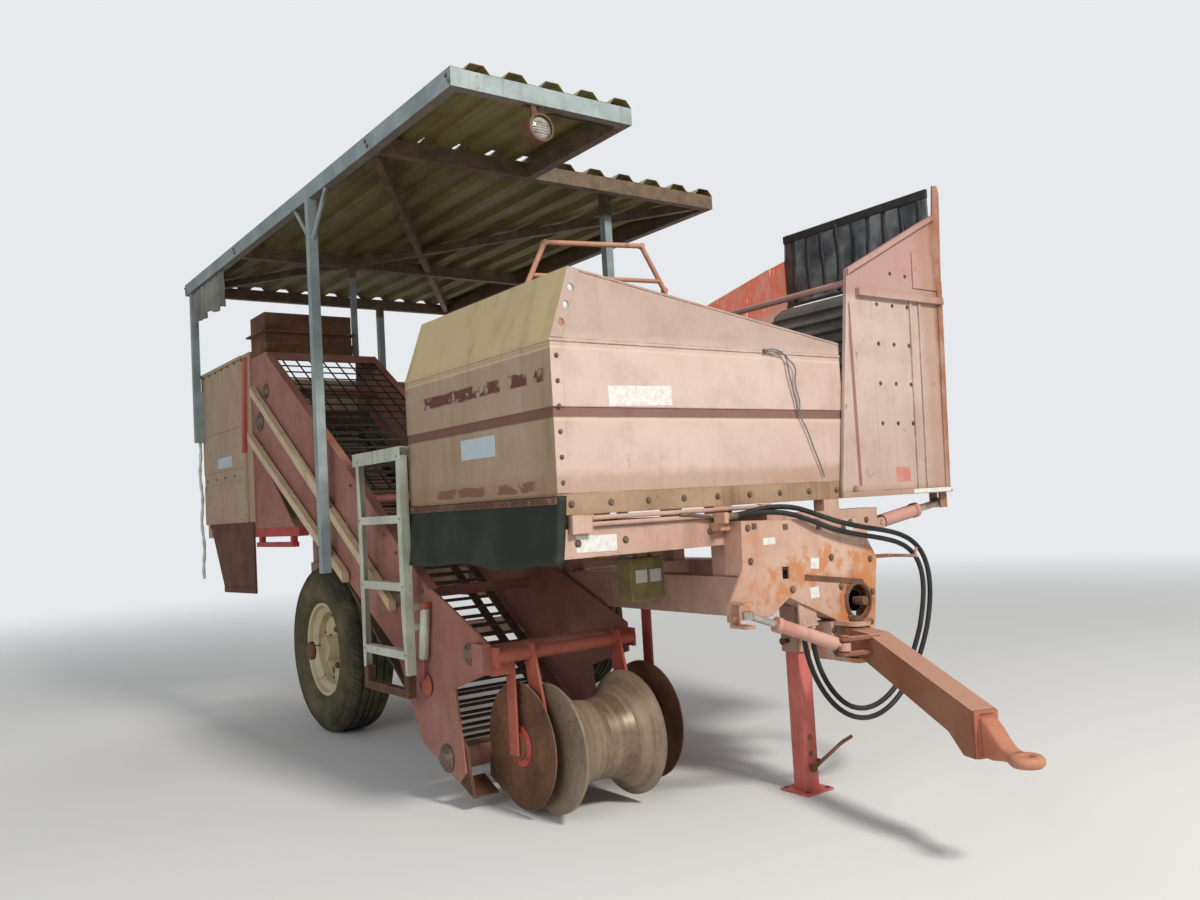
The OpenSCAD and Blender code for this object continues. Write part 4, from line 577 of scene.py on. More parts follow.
# The bunker's paint, with the scuffs along its right side
def bunker_paint():
    m, colour, height = worn_base("bunker_paint_worn", (0.545, 0.385, 0.330), (0.60, 0.455, 0.400),
                                  (0.34, 0.235, 0.15), 0.35, 0.75, 0.30, 0.004, 1.0, 1.0)
    dark_red = m.mix(m.noise(40, 5, 0.7), (0.17, 0.045, 0.035), (0.09, 0.035, 0.025))
    z = m.axis("z")
    y = m.axis("y")
    rough_edge = m.times(m.minus(m.noise(14, 6, 0.7, shift=5), 0.5), 0.030)
    right = m.step(m.facing("x"), -0.5, -0.85)
    front = m.step(m.facing("y"), -0.5, -0.85)
    # Mould and dust on the right side, its dark olive partly painted shade; above the crease a lighter olive
    # is painted light, as of grazing sun on the slanted upper panel
    cloud = m.noise(2.6, 8, 0.66, stretch=(1, 1, 0.35), shift=9)
    # Partly painted shade: the right-facing side is mixed towards dark olive, along with real mould and dust
    colour = m.mix(m.times(right, m.step(cloud, 0.34, 0.62, 0.45, 0.70)), colour, (0.285, 0.185, 0.085))
    # Painted light: right-facing faces above the crease are mixed towards a lighter olive, as of grazing sun
    high = m.times(right, m.step(z, 1.86, 1.91))
    colour = m.mix(m.times(high, m.step(cloud, 0.3, 0.7, 0.55, 0.85)), colour, (0.60, 0.470, 0.245))
    moss = m.times(right, m.step(m.noise(1.0, 6, 0.6, stretch=(6, 6, 1.0), shift=3), 0.50, 0.72, 0, 0.45))
    colour = m.mix(moss, colour, (0.155, 0.135, 0.055))
    dull = m.times(front, m.step(z, 1.86, 1.95), 0.35)
    colour = m.mix(dull, colour, (0.20, 0.140, 0.110))
    # Groove: dark red in its floor, with a cream lip below
    groove = m.band(z, 1.612, 1.652, 0.004)
    colour = m.mix(m.times(groove, 0.80), colour, dark_red)
    lip = m.times(m.band(z, 1.596, 1.611, 0.003), front)
    colour = m.mix(m.times(lip, 0.55), colour, (0.62, 0.50, 0.36))
    # Painted highlight: a pale line along the crease on the front and right side
    crease_painted_highlight = m.times(m.band(z, 1.867, 1.876, 0.003), m.most(front, right))
    colour = m.mix(m.times(crease_painted_highlight, 0.45), colour, (0.66, 0.54, 0.42))
    # Paint torn off in two rows along the right side
    for low, high_z, y0, y1, share in ((1.750, 1.800, -1.80, -0.80, 0.475),
                                       (1.343, 1.382, -1.70, -0.90, 0.470)):
        row = m.times(m.band(m.plus(z, rough_edge), low, high_z, 0.004), m.band(y, y0, y1, 0.02), right)
        torn = m.step(m.noise(9, 6, 0.65, shift=low), share - 0.04, share + 0.01)
        colour = m.mix(m.times(row, torn), colour, dark_red)
    # Rust and dirt along the lower edge
    foot = m.step(m.plus(z, m.times(rough_edge, 2.0)), 1.425, 1.375)
    colour = m.mix(m.times(foot, 0.45), colour, (0.30, 0.17, 0.10))
    return m.finish(colour, m.step(cloud, 0.3, 0.75, 0.50, 0.72), height, Specular_IOR_Level=0.35)


# The headstock's paint: orange rust in patches, round the shaft's opening and along the right edge
def headstock_paint():
    m, colour, height = worn_base("head_paint_worn", (0.50, 0.315, 0.235), (0.57, 0.39, 0.31),
                                  (0.30, 0.135, 0.06), 0.9, 1.0, 0.30, 0.003, 2.0, 2.2)
    x = m.axis("x")
    z = m.axis("z")
    dx = m.minus(x, SHAFT[0])
    dz = m.minus(z, SHAFT[1])
    reach = m.math("SQRT", m.plus(m.times(dx, dx), m.times(dz, dz)))
    ragged = m.noise(16, 7, 0.68, shift=6)
    reach = m.plus(reach, m.times(m.minus(ragged, 0.5), 0.16))
    orange = m.mix(m.noise(30, 5, 0.7), (0.45, 0.13, 0.045), (0.26, 0.075, 0.03))
    colour = m.mix(m.step(reach, 0.150, 0.105, 0.0, 0.85), colour, orange)
    colour = m.mix(m.step(reach, 0.098, 0.085, 0.0, 0.8), colour, (0.10, 0.035, 0.02))
    patches = m.times(m.step(m.noise(5.5, 8, 0.68, shift=12), 0.50, 0.60), m.step(z, 1.2, 1.02, 0.35, 0.9))
    colour = m.mix(patches, colour, (0.50, 0.20, 0.075))
    tint = m.times(m.step(x, -0.14, -0.34), m.step(ragged, 0.4, 0.6, 0.3, 0.9))
    colour = m.mix(m.times(tint, 0.5), colour, (0.46, 0.19, 0.10))
    return m.finish(colour, m.step(ragged, 0.3, 0.75, 0.52, 0.78), height, Specular_IOR_Level=0.35)


# The boom's paint: mauve panels, a redder top, a rusty outer column and a scraped rear panel
def boom_paint():
    m, colour, height = worn_base("boom_paint_worn", (0.47, 0.335, 0.285), (0.53, 0.415, 0.365),
                                  (0.33, 0.215, 0.155), 0.6, 0.85, 0.40, 0.004, 8.0, 1.0)
    x = m.axis("x")
    z = m.axis("z")
    wander = m.times(m.minus(m.noise(7, 5, 0.6, shift=2), 0.5), 0.05)
    # Above the ledge the paint keeps its red
    slope = m.minus(z, m.times(m.minus(x, 0.476), 0.55))
    upper = m.step(m.plus(z, wander), 2.17, 2.21)
    outer = m.step(m.plus(x, wander), 0.98, 1.06)
    colour = m.mix(m.times(upper, m.step(slope, 1.9, 2.2, 0.35, 0.60)), colour, (0.36, 0.165, 0.145))
    colour = m.mix(m.times(outer, 0.45), colour, (0.34, 0.17, 0.11))
    column = m.times(m.step(x, 1.115, 1.150), m.step(m.noise(11, 6, 0.7, shift=4), 0.35, 0.6, 0.3, 0.9))
    column = m.times(column, m.step(m.axis("y"), -1.80, -1.835, 0.12, 1.0))
    colour = m.mix(column, colour, (0.27, 0.11, 0.055))
    patch = m.times(m.band(x, 0.742, 0.849, 0.003), m.band(z, 1.312, 1.382, 0.003))
    colour = m.mix(m.times(patch, m.step(m.noise(12, 5, 0.7, shift=1), 0.35, 0.6, 0.35, 0.8)), colour,
                   (0.52, 0.13, 0.09))
    plate_x = m.band(x, 0.470, 0.492, 0.003)
    plate_edge = m.times(plate_x, m.band(z, 1.30, 2.15, 0.01))
    colour = m.mix(m.times(plate_edge, 0.75), colour, (0.20, 0.055, 0.040))
    # Fresh red and whitish scratches inside the rear panel's top
    rear = m.times(m.step(m.axis("y"), -0.93, -0.90), m.step(m.plus(slope, wander), 1.95, 2.12))
    scraped = m.noise(1.0, 7, 0.7, stretch=(26, 1, 7), shift=9)
    colour = m.mix(m.times(rear, m.step(scraped, 0.38, 0.56, 0.35, 0.95)), colour, (0.50, 0.105, 0.055))
    colour = m.mix(m.times(rear, m.step(scraped, 0.60, 0.66, 0.0, 0.8)), colour, (0.62, 0.55, 0.47))
    foot = m.step(m.plus(z, wander), 1.31, 1.255)
    colour = m.mix(m.times(foot, 0.5), colour, (0.30, 0.15, 0.09))
    return m.finish(colour, m.step(m.noise(5, 4, 0.6), 0.3, 0.75, 0.52, 0.76), height,
                    Specular_IOR_Level=0.35)


# The drawbar's paint: red-brown sides darkened as painted shade, and a top painted paler as painted light
def drawbar_paint():
    m, colour, height = worn_base("drawbar_paint_worn", (0.255, 0.098, 0.055), (0.31, 0.145, 0.085),
                                  (0.12, 0.055, 0.025), 1.0, 0.9, 0.45, 0.003, 32.0, 2.0)
    # Painted light: faces turned up are mixed towards a paler pink
    painted_light_top = m.step(m.facing("z"), 0.35, 0.8, 0.0, 0.75)
    colour = m.mix(painted_light_top, colour, (0.46, 0.255, 0.185))
    return m.finish(colour, 0.62, height, Specular_IOR_Level=0.35)


# Zinc on the canopy's outer beams and posts; the ones inside, and the undersides, dark brown, partly rust and
# partly painted shade
def canopy_paint():
    m = Mat("canopy_steel")
    cloud = m.noise(5, 6, 0.65, shift=9)
    runs = m.noise(1.0, 5, 0.6, stretch=(22, 22, 1.2), shift=1)
    colour = m.mix(m.step(cloud, 0.32, 0.7), (0.22, 0.27, 0.27), (0.35, 0.41, 0.41))
    colour = m.mix(m.times(m.step(runs, 0.56, 0.74), 0.5), colour, (0.19, 0.12, 0.07))
    # Partly painted shade: the inner beams are mixed towards dark brown, rust with shade
    inside_rust_and_shade = m.times(m.step(m.axis("x"), -1.185, -1.165), m.step(m.axis("y"), -1.235, -1.215))
    inside_rust_and_shade = m.times(inside_rust_and_shade, m.step(m.axis("z"), 2.97, 2.99))
    rust_and_painted_shade = m.mix(m.step(m.noise(11, 7, 0.7, shift=3), 0.36, 0.66), (0.085, 0.048, 0.024),
                  (0.19, 0.105, 0.048))
    colour = m.mix(m.times(inside_rust_and_shade, 0.92), colour, rust_and_painted_shade)
    # Painted shade: faces turned down under the roof are mixed towards dark brown
    painted_shade_under = m.times(m.step(m.facing("z"), -0.4, -0.8), m.step(m.axis("z"), 2.97, 2.99))
    colour = m.mix(m.times(painted_shade_under, 0.7), colour, rust_and_painted_shade)
    spots = m.step(m.noise(17, 8, 0.72, shift=6), 0.62, 0.68)
    colour = m.mix(m.times(spots, 0.7), colour, BRIGHT_RUST)
    height = m.bump(m.noise(90, 3, 0.6), 0.2, 0.0008)
    return m.finish(colour, m.step(cloud, 0.3, 0.7, 0.48, 0.68), height, metal=0.1)


# Tread plate: rusty red paint, with raised bars on what faces up
def tread_plate():
    m, colour, height = worn_base("tread_plate_worn", (0.20, 0.075, 0.045), (0.25, 0.12, 0.075),
                                  (0.12, 0.065, 0.035), 1.0, 0.9, 0.2, 0.002, 34.0, 2.0)
    a = m.math("SINE", m.times(m.plus(m.axis("x"), m.axis("y")), 150))
    b = m.math("SINE", m.times(m.minus(m.axis("x"), m.axis("y")), 150))
    bars = m.times(m.step(m.times(a, b), 0.25, 0.6), m.step(m.facing("z"), 0.6, 0.9))
    colour = m.mix(m.times(bars, 0.35), colour, (0.33, 0.25, 0.19))
    return m.finish(colour, 0.66, m.bump(bars, 0.6, 0.002, height), Specular_IOR_Level=0.35)


BUNKER = bunker_paint()
TREAD = tread_plate()
BAR = drawbar_paint()
CANOPY = canopy_paint()
HEAD = headstock_paint()
BOOM = boom_paint()
# Looks by the record's slots, and by node where a node differs from its slot
SLOT_LOOKS = {
    "pink_paint": PAINT["pink"], "bunker_paint": BUNKER, "red_paint": PAINT["red"],
    "orange_paint": PAINT["orange"], "cream_paint": PAINT["cream"], "rim_paint": PAINT["rim"],
    "galvanised": ZINC, "sheet": ROOF, "rust": RUST, "chrome": CHROME, "rubber": BELT, "tyre": TYRE_R,
    "mesh_green": NET, "hose": HOSE}
NODE_LOOKS = {
    "headstock": HEAD, "boom_frame": BOOM, "boom_belt": BOARD, "drawbar": BAR, "canopy_frame": CANOPY,
    "web_sides": PAINT["web_side"], "rear_housing": PAINT["rear"], "rear_flap": PAINT["flap"],
    "bunker_sill": PAINT["sill"], "rear_frame": PAINT["post"], "jack_leg": PAINT["jack"],
    "steer_barrel": PAINT["cylinder"], "boom_barrel": PAINT["cylinder"], "ladder": PAINTED_LIGHT_ZINC,
    "digging_web": WEB_STEEL, "ridge_roller": ROLLER, "tyre_left": TYRE_L, "platform": TREAD}
slot_of = {row["node"]: row["material_slot"] for row in frame["record"]["subparts"]}
for name, obj in nodes.items():
    look = NODE_LOOKS.get(name) or SLOT_LOOKS[slot_of[name]]
    obj.data.materials.clear()
    obj.data.materials.append(look)


# Hydraulic hoses: the routes of part.scad, in millimetres
ROUTE_A = [(-400, -1918, 1206), (-355, -1918, 1207), (-300, -1920, 1210), (-240, -1926, 1213),
           (-180, -1938, 1212), (-120, -1952, 1205), (-60, -1965, 1190), (0, -1974, 1170), (70, -1980, 1146),
           (140, -1984, 1124), (220, -1988, 1104), (300, -1992, 1088), (380, -1998, 1074), (450, -2004, 1060),
           (520, -2010, 1042), (585, -2014, 1014), (635, -2018, 972), (664, -2020, 918), (676, -2020, 858),
           (674, -2018, 790), (662, -2014, 720), (642, -2010, 650), (614, -2004, 582), (576, -1998, 516),
           (528, -1992, 456), (470, -1986, 404), (404, -1980, 364), (332, -1974, 342), (258, -1968, 342),
           (188, -1962, 364), (128, -1956, 408), (80, -1948, 468), (46, -1940, 538), (28, -1934, 610),
           (22, -1932, 665), (22, -1932, 710)]
ROUTE_B = [(-400, -1888, 1206), (-350, -1889, 1208), (-290, -1894, 1215), (-230, -1903, 1225),
           (-170, -1918, 1232), (-110, -1936, 1231), (-50, -1954, 1222), (10, -1968, 1204), (80, -1980, 1180),
           (150, -1988, 1158), (230, -1994, 1138), (310, -1999, 1122), (390, -2005, 1108), (465, -2012, 1094),
           (540, -2018, 1074), (610, -2024, 1042), (664, -2028, 994), (696, -2030, 934), (710, -2030, 866),
           (710, -2028, 794), (700, -2024, 720), (680, -2020, 646), (650, -2014, 572), (610, -2008, 500),
           (558, -2002, 434), (495, -1996, 376), (422, -1990, 330), (342, -1984, 304), (260, -1978, 302),
           (182, -1970, 324), (112, -1962, 368), (54, -1954, 430), (10, -1946, 504), (-18, -1940, 580),
           (-32, -1936, 650), (-34, -1934, 682), (-34, -1934, 710)]


def add_hose(name, node, route):
    points = [(x / 1000, y / 1000, z / 1000) for x, y, z in route]
    line = smooth_line(points, 5)
    hose = Piece(name)
    hose.tube(line, 0.011, 16)
    obj = hose.make(HOSE)
    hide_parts(node)
    collars = Piece(name + "_collars")
    for end, inner in ((line[0], line[4]), (line[-1], line[-5])):
        d = (inner - end).normalized()
        collars.turned(end, d, [(0.0, 0.0125), (0.004, 0.0145), (0.034, 0.0145), (0.040, 0.0120)], 16)
        collars.turned(end - d * 0.012, d, [(0.0, 0.015), (0.012, 0.015)], 6, False)
    fitted = collars.make(STEEL)


add_hose("hose_a_rubber", "hose_a", ROUTE_A)
add_hose("hose_b_rubber", "hose_b", ROUTE_B)


# Rubber skirt below the bunker's right side, wavy at its foot and turned round the front corner
def add_skirt():
    side, front, top, corner = -1.1843, -1.8665, 1.322, 1.25

    def point(v, u):
        s = 1.32 * u
        wave = noise.noise(Vector((s * 3.1, 0.4, 7.0)))
        ripple = math.sin(s * 11.0 + 2 * wave) * 0.5 + math.sin(s * 23.0 + 1.7) * 0.2
        out = 0.012 * v * (1.2 + ripple) + 0.010 * v * v
        z = top - v * (0.262 + 0.010 * math.sin(s * 9.0) + 0.008 * wave)
        if s < corner:
            return (side - out, -0.62 - s, z)
        turn = (s - corner) / 0.07
        return (side - out + 0.030 * turn, front - 0.003 * turn - 0.2 * out, z + 0.012 * turn * v)

    skirt = Piece("skirt_sheet")
    skirt.sheet(grid_of(15, 74, point), 0.006)
    obj = skirt.make(SKIRT)
    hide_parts("rubber_skirt")
    strip = Piece("skirt_clamp")
    strip.box(-1.195, -1.188, -1.86, -0.63, 1.292, 1.318, 0.001)
    strip.bolts((-1.195, -1.82, 1.305), (-1.195, -0.67, 1.305), 9, RIGHT, 0.009, 0.007)
    fitted = strip.make(RUST)


add_skirt()


# Cloth under the canopy's right rear edge, gathered and sagging
def add_curtain():
    def point(v, u):
        fold = math.sin(u * 34 + 0.8 * math.sin(u * 9)) * 0.010 * (0.35 + v)
        fold += 0.006 * noise.noise(Vector((u * 9, v * 3, 2.0)))
        foot = 0.262 - 0.03 * math.sin(u * 3.1) ** 2 - 0.012 * math.sin(u * 17)
        return (-1.209 + fold, 2.10 + 0.80 * u, 3.049 - v * foot)

    curtain = Piece("curtain_sheet")
    curtain.sheet(grid_of(16, 70, point), 0.002)
    obj = curtain.make(CURTAIN)
    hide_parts("roof_curtain")


add_curtain()


# Dark film and its ribs on the boom's outer top edge
def add_film():
    y0, y1 = -1.853, -0.865
    z0, z1 = 2.368, 2.788
    rib_top = 2.765

    def point(v, u):
        bulge = 0.006 * math.sin(u * 12.0) * math.sin(v * math.pi)
        bulge += 0.004 * noise.noise(Vector((u * 7, v * 4, 5.0)))
        return (1.161 + bulge, y0 + (y1 - y0) * u, z0 + (z1 - z0) * v)

    sheet = Piece("boom_film", "boom")
    sheet.sheet(grid_of(12, 60, point), 0.0015)
    obj = sheet.make(FILM)
    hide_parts("boom_flap")
    ribs = Piece("boom_film_ribs", "boom")
    for i in range(9):
        y = y0 + 0.055 + i * 0.108
        foot = 2.372 + 0.03 * abs(math.sin(i * 2.4))
        line = [(1.1575 + 0.003 * math.sin(i + k), y + 0.004 * math.sin(i * 1.7 + k * 0.9),
                 foot + (rib_top - foot) * k / 6) for k in range(7)]
        grid = [[(p[0], p[1] - 0.014, p[2]), (p[0], p[1] + 0.014, p[2])] for p in line]
        ribs.sheet(grid, 0.003)
    ribs.box(1.1535, 1.158, y0, y1, z1 - 0.043, z1 + 0.001, 0.001)
    ribs.box(1.164, 1.1685, y0, y1, z1 - 0.043, z1 + 0.001, 0.001)
    ribs.box(1.1535, 1.1575, y0, y1, z0, z0 + 0.017, 0.001)
    band = ribs.make(BLACK)


add_film()


# Bolts, nuts and bearing caps
def add_bolts():
    fixed = Piece("bolts_fixed")
    y = BUNKER_FRONT
    fixed.bolts((-1.12, y, 1.290), (0.33, y, 1.290), 9, FRONT, 0.010)
    fixed.bolts((-1.153, y - 0.003, 1.37), (-1.153, y - 0.003, 1.84), 6, FRONT, 0.007)
    for x, z in ((-1.10, 1.145), (-0.88, 1.145), (-0.45, 1.15), (0.52, 1.145)):
        fixed.bolt((x, y, z), FRONT, 0.011)
    for x, z in ((-0.335, 1.155), (-0.33, 1.02), (0.29, 1.145), (0.405, 0.975), (0.385, 0.70), (0.245, 0.735),
                 (-0.10, 0.885), (0.405, 0.83), (0.20, 0.87), (0.15, 1.0)):
        fixed.bolt((x, HEAD_FRONT, z), FRONT, 0.011)
    for dx in (-0.055, 0.055):
        for z in (0.60, 0.69):
            fixed.bolt((PIVOT[0] + dx, HEAD_FRONT, z), FRONT, 0.010)
    # Bearing caps: where they stand, their rings and sides, then the circle and size of their bolts
    small = [(0.0, 0.046), (0.006, 0.046), (0.010, 0.026), (0.020, 0.022)]
    large = [(0.0, 0.062), (0.008, 0.062), (0.014, 0.036), (0.030, 0.030)]
    caps = (([(-1.05, 0.68), (-0.35, 0.90), (0.60, 1.39), (1.50, 2.13)], small, 24, 0.036, 0.006),
            ([(-0.80, 0.20), (1.64, 1.95)], large, 28, 0.049, 0.007))
    for places, rings, sides, circle, size in caps:
        for y, z in places:
            fixed.turned((WEB_SIDE_X, y, z), RIGHT, rings, sides)
            for k in range(4):
                t = math.radians(45 + 90 * k)
                at = (WEB_SIDE_X - rings[1][0], y + circle * math.cos(t), z + circle * math.sin(t))
                fixed.bolt(at, RIGHT, size, size)
    # Rows on the right side: first and last bolt, and how many
    for x, y0, z0, y1, z1, count in ((WEB_SIDE_X, -0.62, 0.930, 0.18, 1.46, 7),
                                     (REAR_X0, 1.98, 2.40, 2.92, 2.40, 7),
                                     (-1.146, 2.00, 1.625, 2.92, 1.625, 5),
                                     (-1.158, 1.86, 1.285, 2.82, 1.285, 6),
                                     (-1.158, 1.8425, 0.90, 1.8425, 1.22, 3)):
        fixed.bolts((x, y0, z0), (x, y1, z1), count, RIGHT, 0.007)
    for y in (-0.63, -0.17):
        for i in range(4):
            z = 1.60 - 0.31 * i - (0.021 if i == 0 else 0.0)
            fixed.bolt((-1.2445, y, z - 0.02), RIGHT, 0.006, 0.002, False)
    fixed.make(STEEL)


add_bolts()


# Blank plates where the photograph shows stickers
def add_plates():
    white = [((-0.765, BUNKER_FRONT, 1.697), 0.315, 0.078, 0.02),
             ((-1.015, BUNKER_FRONT, 1.140), 0.185, 0.062, -0.02),
             ((-0.218, HEAD_FRONT, 1.095), 0.070, 0.028, 0.0),
             ((0.271, HEAD_FRONT, 1.126), 0.060, 0.040, 0.1),
             ((0.045, HEAD_FRONT, 0.983), 0.052, 0.046, -0.1),
             ((0.033, HEAD_FRONT, 0.861), 0.052, 0.046, 0.05)]
    blue = [((BUNKER_SIDE, -1.280, 1.542), 0.285, 0.085, 0.0), ((REAR_X0, 2.450, 1.735), 0.34, 0.075, 0.0)]
    for name, look, normal, rows in (("blank_plates", WHITE, FRONT, white),
                                     ("blank_plates_blue", PALE_BLUE, RIGHT, blue)):
        plates = Piece(name)
        n = Vector(normal)
        side = Vector(UP).cross(n)
        for centre, wide, high, tilt in rows:
            turn = Matrix((side, n.cross(side), n)).transposed() @ Matrix.Rotation(tilt, 3, "Z")
            plates.block(Vector(centre) + n * 0.0006, (wide / 2, high / 2, 0.0006), turn, 0.0003)
        plates.make(look)


add_plates()


# Curved tongue and eye of the hitch, forged in one
EYE = Vector((-0.160, -2.992, 0.370))
BAR_ALONG = Vector((0.350, 0.962, 0.0)).normalized()
BAR_SIDE = Vector((BAR_ALONG.y, -BAR_ALONG.x, 0.0))


def add_hitch():
    ring = Piece("hitch_forging", "drawbar_body")
    outer, inner, half = 0.0575, 0.0252, 0.0178
    profile = [(inner, -half + 0.004), (inner + 0.004, -half), (outer - 0.009, -half), (outer, -half + 0.009),
               (outer, half - 0.009), (outer - 0.009, half), (inner + 0.004, half), (inner, half - 0.004)]
    ring.ring(EYE, LEFT, BACK, profile, 44)
    # Tongue: (distance from the eye, half width, underside, top), with rounded corners
    sections = [(0.034, 0.030, -0.0165, 0.0165), (0.060, 0.031, -0.0165, 0.020),
                (0.085, 0.0315, -0.018, 0.029), (0.112, 0.032, -0.022, 0.050), (0.140, 0.0325, -0.027, 0.078),
                (0.170, 0.0328, -0.026, 0.102), (0.197, 0.0328, -0.021, 0.122)]
    pts = []
    r = 0.007
    for reach, wide, low, high in sections:
        c = EYE + BAR_ALONG * reach
        corners = [(-wide + r, low), (wide - r, low), (wide, low + r), (wide, high - r), (wide - r, high),
                   (-wide + r, high), (-wide, high - r), (-wide, low + r)]
        for across, z in corners:
            pts.append(c + BAR_SIDE * across + Vector((0, 0, z)))
    ring.add(pts, skin(len(sections), 8), True)
    turn = Matrix((BAR_ALONG, BAR_SIDE, Vector(UP))).transposed()
    ring.block(EYE + BAR_ALONG * 0.1977 + Vector((0, 0, 0.0475)), (0.0067, 0.0475, 0.081), turn, 0.002)
    obj = ring.make(PAINT["hitch"])
    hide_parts("hitch_eye")
    bits = Piece("drawbar_fittings", "drawbar_body")
    # Weld beads where the tongue meets its plate, and the steering cylinder's pin head
    for s in (-1, 1):
        line = [EYE + BAR_ALONG * 0.190 + BAR_SIDE * (s * 0.0335) + Vector((0, 0, -0.018 + 0.0145 * k))
                for k in range(10)]
        bits.tube(line, lambda t: 0.0042 + 0.0009 * math.sin(40 * t), 8)
    bits.turned((-0.020, -2.140, 0.693), UP, [(0, 0.018), (0.006, 0.018), (0.008, 0.012)], 18)
    bits.make(PAINT["hitch"])


add_hitch()


def add_headstock_fittings():
    head = Piece("headstock_fittings")
    # Worn collar round the power shaft's opening
    x, z = SHAFT
    profile = [(0.086, 0.0), (0.086, 0.006), (0.080, 0.008), (0.0725, 0.008), (0.0725, 0.0)]
    head.ring((x, HEAD_FRONT, z), LEFT, UP, profile, 40, False)
    for k in range(6):
        t = math.radians(30 + 60 * k)
        head.bolt((x + 0.0795 * math.cos(t), -1.957, z + 0.0795 * math.sin(t)), FRONT, 0.005, 0.004, False)
    # Splines of the shaft's stub
    for k in range(6):
        t = math.radians(60 * k)
        c = Vector((x + 0.0165 * math.cos(t), -1.968, z + 0.0165 * math.sin(t)))
        head.block(c, (0.0028, 0.0215, 0.0035), Matrix.Rotation(-t, 3, "Y"))
    # Stiffening strip, and the caps of the drawbar's pivot
    head.block((0.160, -1.953, 0.905), (0.185, 0.003, 0.011), Matrix.Rotation(math.radians(8), 3, "Y"), 0.001)
    head.turned((*PIVOT, 0.730), UP, [(0, 0.030), (0.008, 0.030), (0.012, 0.022)], 20)
    head.bolt((*PIVOT, 0.742), UP, 0.012, 0.010)
    head.turned((*PIVOT, 0.560), DOWN, [(0, 0.030), (0.006, 0.028)], 20)
    head.make(RUST)
    shaft = Piece("power_shaft_cup")
    rings = [(0.0, 0.047), (0.05, 0.049), (0.09, 0.055), (0.091, 0.050), (0.05, 0.044), (0.0, 0.042)]
    shaft.turned((x, -1.930, z), BACK, rings, 28)
    shaft.make(BLACK)
    # Pipe beside the couplings, and the clips that hold the lines to the plate
    lines = Piece("headstock_lines")
    lines.tube(smooth_line([(-0.40, -1.871, 1.206), (-0.44, -1.871, 1.206), (-0.50, -1.872, 1.214),
                            (-0.56, -1.872, 1.222), (-0.62, -1.872, 1.226)], 5), 0.007, 10)
    for x in (-0.30, -0.12, 0.08, 0.24):
        z = 1.150 - 0.07 * (x + 0.3)
        lines.box(x - 0.012, x + 0.012, HEAD_FRONT - 0.006, HEAD_FRONT, z, z + 0.022, 0.001)
    lines.make(STEEL)


add_headstock_fittings()


# Parking jack: crank and grip, the foot's nuts, bushings of two holes, and the pin
def add_jack_fittings():
    x, y = 0.070, -1.795
    jack = Piece("jack_crank", "jack_leg_body")
    jack.turned((x, -1.836, 0.100), FRONT, [(0, 0.016), (0.012, 0.016), (0.014, 0.010)], 18)
    line = smooth_line([(x, -1.845, 0.100), (0.110, -1.852, 0.124), (0.180, -1.852, 0.152),
                        (0.250, -1.850, 0.178), (0.320, -1.846, 0.192)], 5)
    jack.tube(line, 0.008, 10)
    grip = smooth_line([(0.110, -1.70, 0.124), (0.112, -1.76, 0.126), (0.112, -1.84, 0.124)], 4)
    jack.tube(grip, 0.009, 10)
    for dy in (-0.062, 0.062):
        for dx in (-0.062, 0.062):
            jack.turned((x + dx, y + dy, 0.010), UP, [(0, 0.011), (0.004, 0.011), (0.004, 0.006)], 14)
    for z in (0.16, 0.23):
        jack.turned((x, -1.830, z), FRONT, [(0, 0.0125), (0.002, 0.0125), (0.002, 0.008)], 16)
    jack.make(RUST)
    pin = Piece("jack_pin")
    pin.turned((0.012, y, 0.650), RIGHT, [(0, 0.010), (0.030, 0.010), (0.030, 0.016), (0.036, 0.016)], 16)
    pin.make(RUST)


add_jack_fittings()


# Lens and guard bars of the work lamp, its cable, and the roof's screws and bolts
def add_lamp():
    lamp = Piece("lamp_lens")
    lens = [(0.0, 0.0525), (0.004, 0.0525), (0.010, 0.040), (0.013, 0.020), (0.0135, 0.004)]
    lamp.turned((-0.820, -1.3290, 2.930), FRONT, lens, 30)
    for k in range(5):
        lamp.box(-0.8600, -0.780, -1.3440, -1.3405, 2.906 + 0.0115 * k, 2.908 + 0.0115 * k)
    lamp.make(GLASS)
    wires = Piece("canopy_wires")
    wires.tube(smooth_line([(-0.820, -1.268, 2.950), (-0.800, -1.262, 2.985), (-0.760, -1.255, 3.020),
                            (-0.700, -1.248, 3.043), (-0.60, -1.242, 3.046), (-0.40, -1.244, 3.045)], 5),
               0.004, 8)
    wires.make(BLACK)
    screws = Piece("canopy_screws")
    profile = [(0, 0.012), (0.003, 0.012), (0.003, 0.006), (0.008, 0.006)]
    for first, pitch, count, edges in ((-1.1667, 0.19, 5, (-1.27, -0.50)),
                                       (-1.197, 0.2029, 11, (-0.42, 3.02))):
        for y in edges:
            for k in range(count):
                screws.turned((first + pitch * k, y, ROOF_TOP), UP, profile, 10, False)
    for y in (-1.275, -0.425, 1.768, 3.025):
        screws.bolt((ROOF_SIDE, y - 0.012, 3.075), RIGHT, 0.008)
        screws.bolt((ROOF_SIDE, y + 0.012, 3.105), RIGHT, 0.008)
    screws.make(STEEL)


add_lamp()


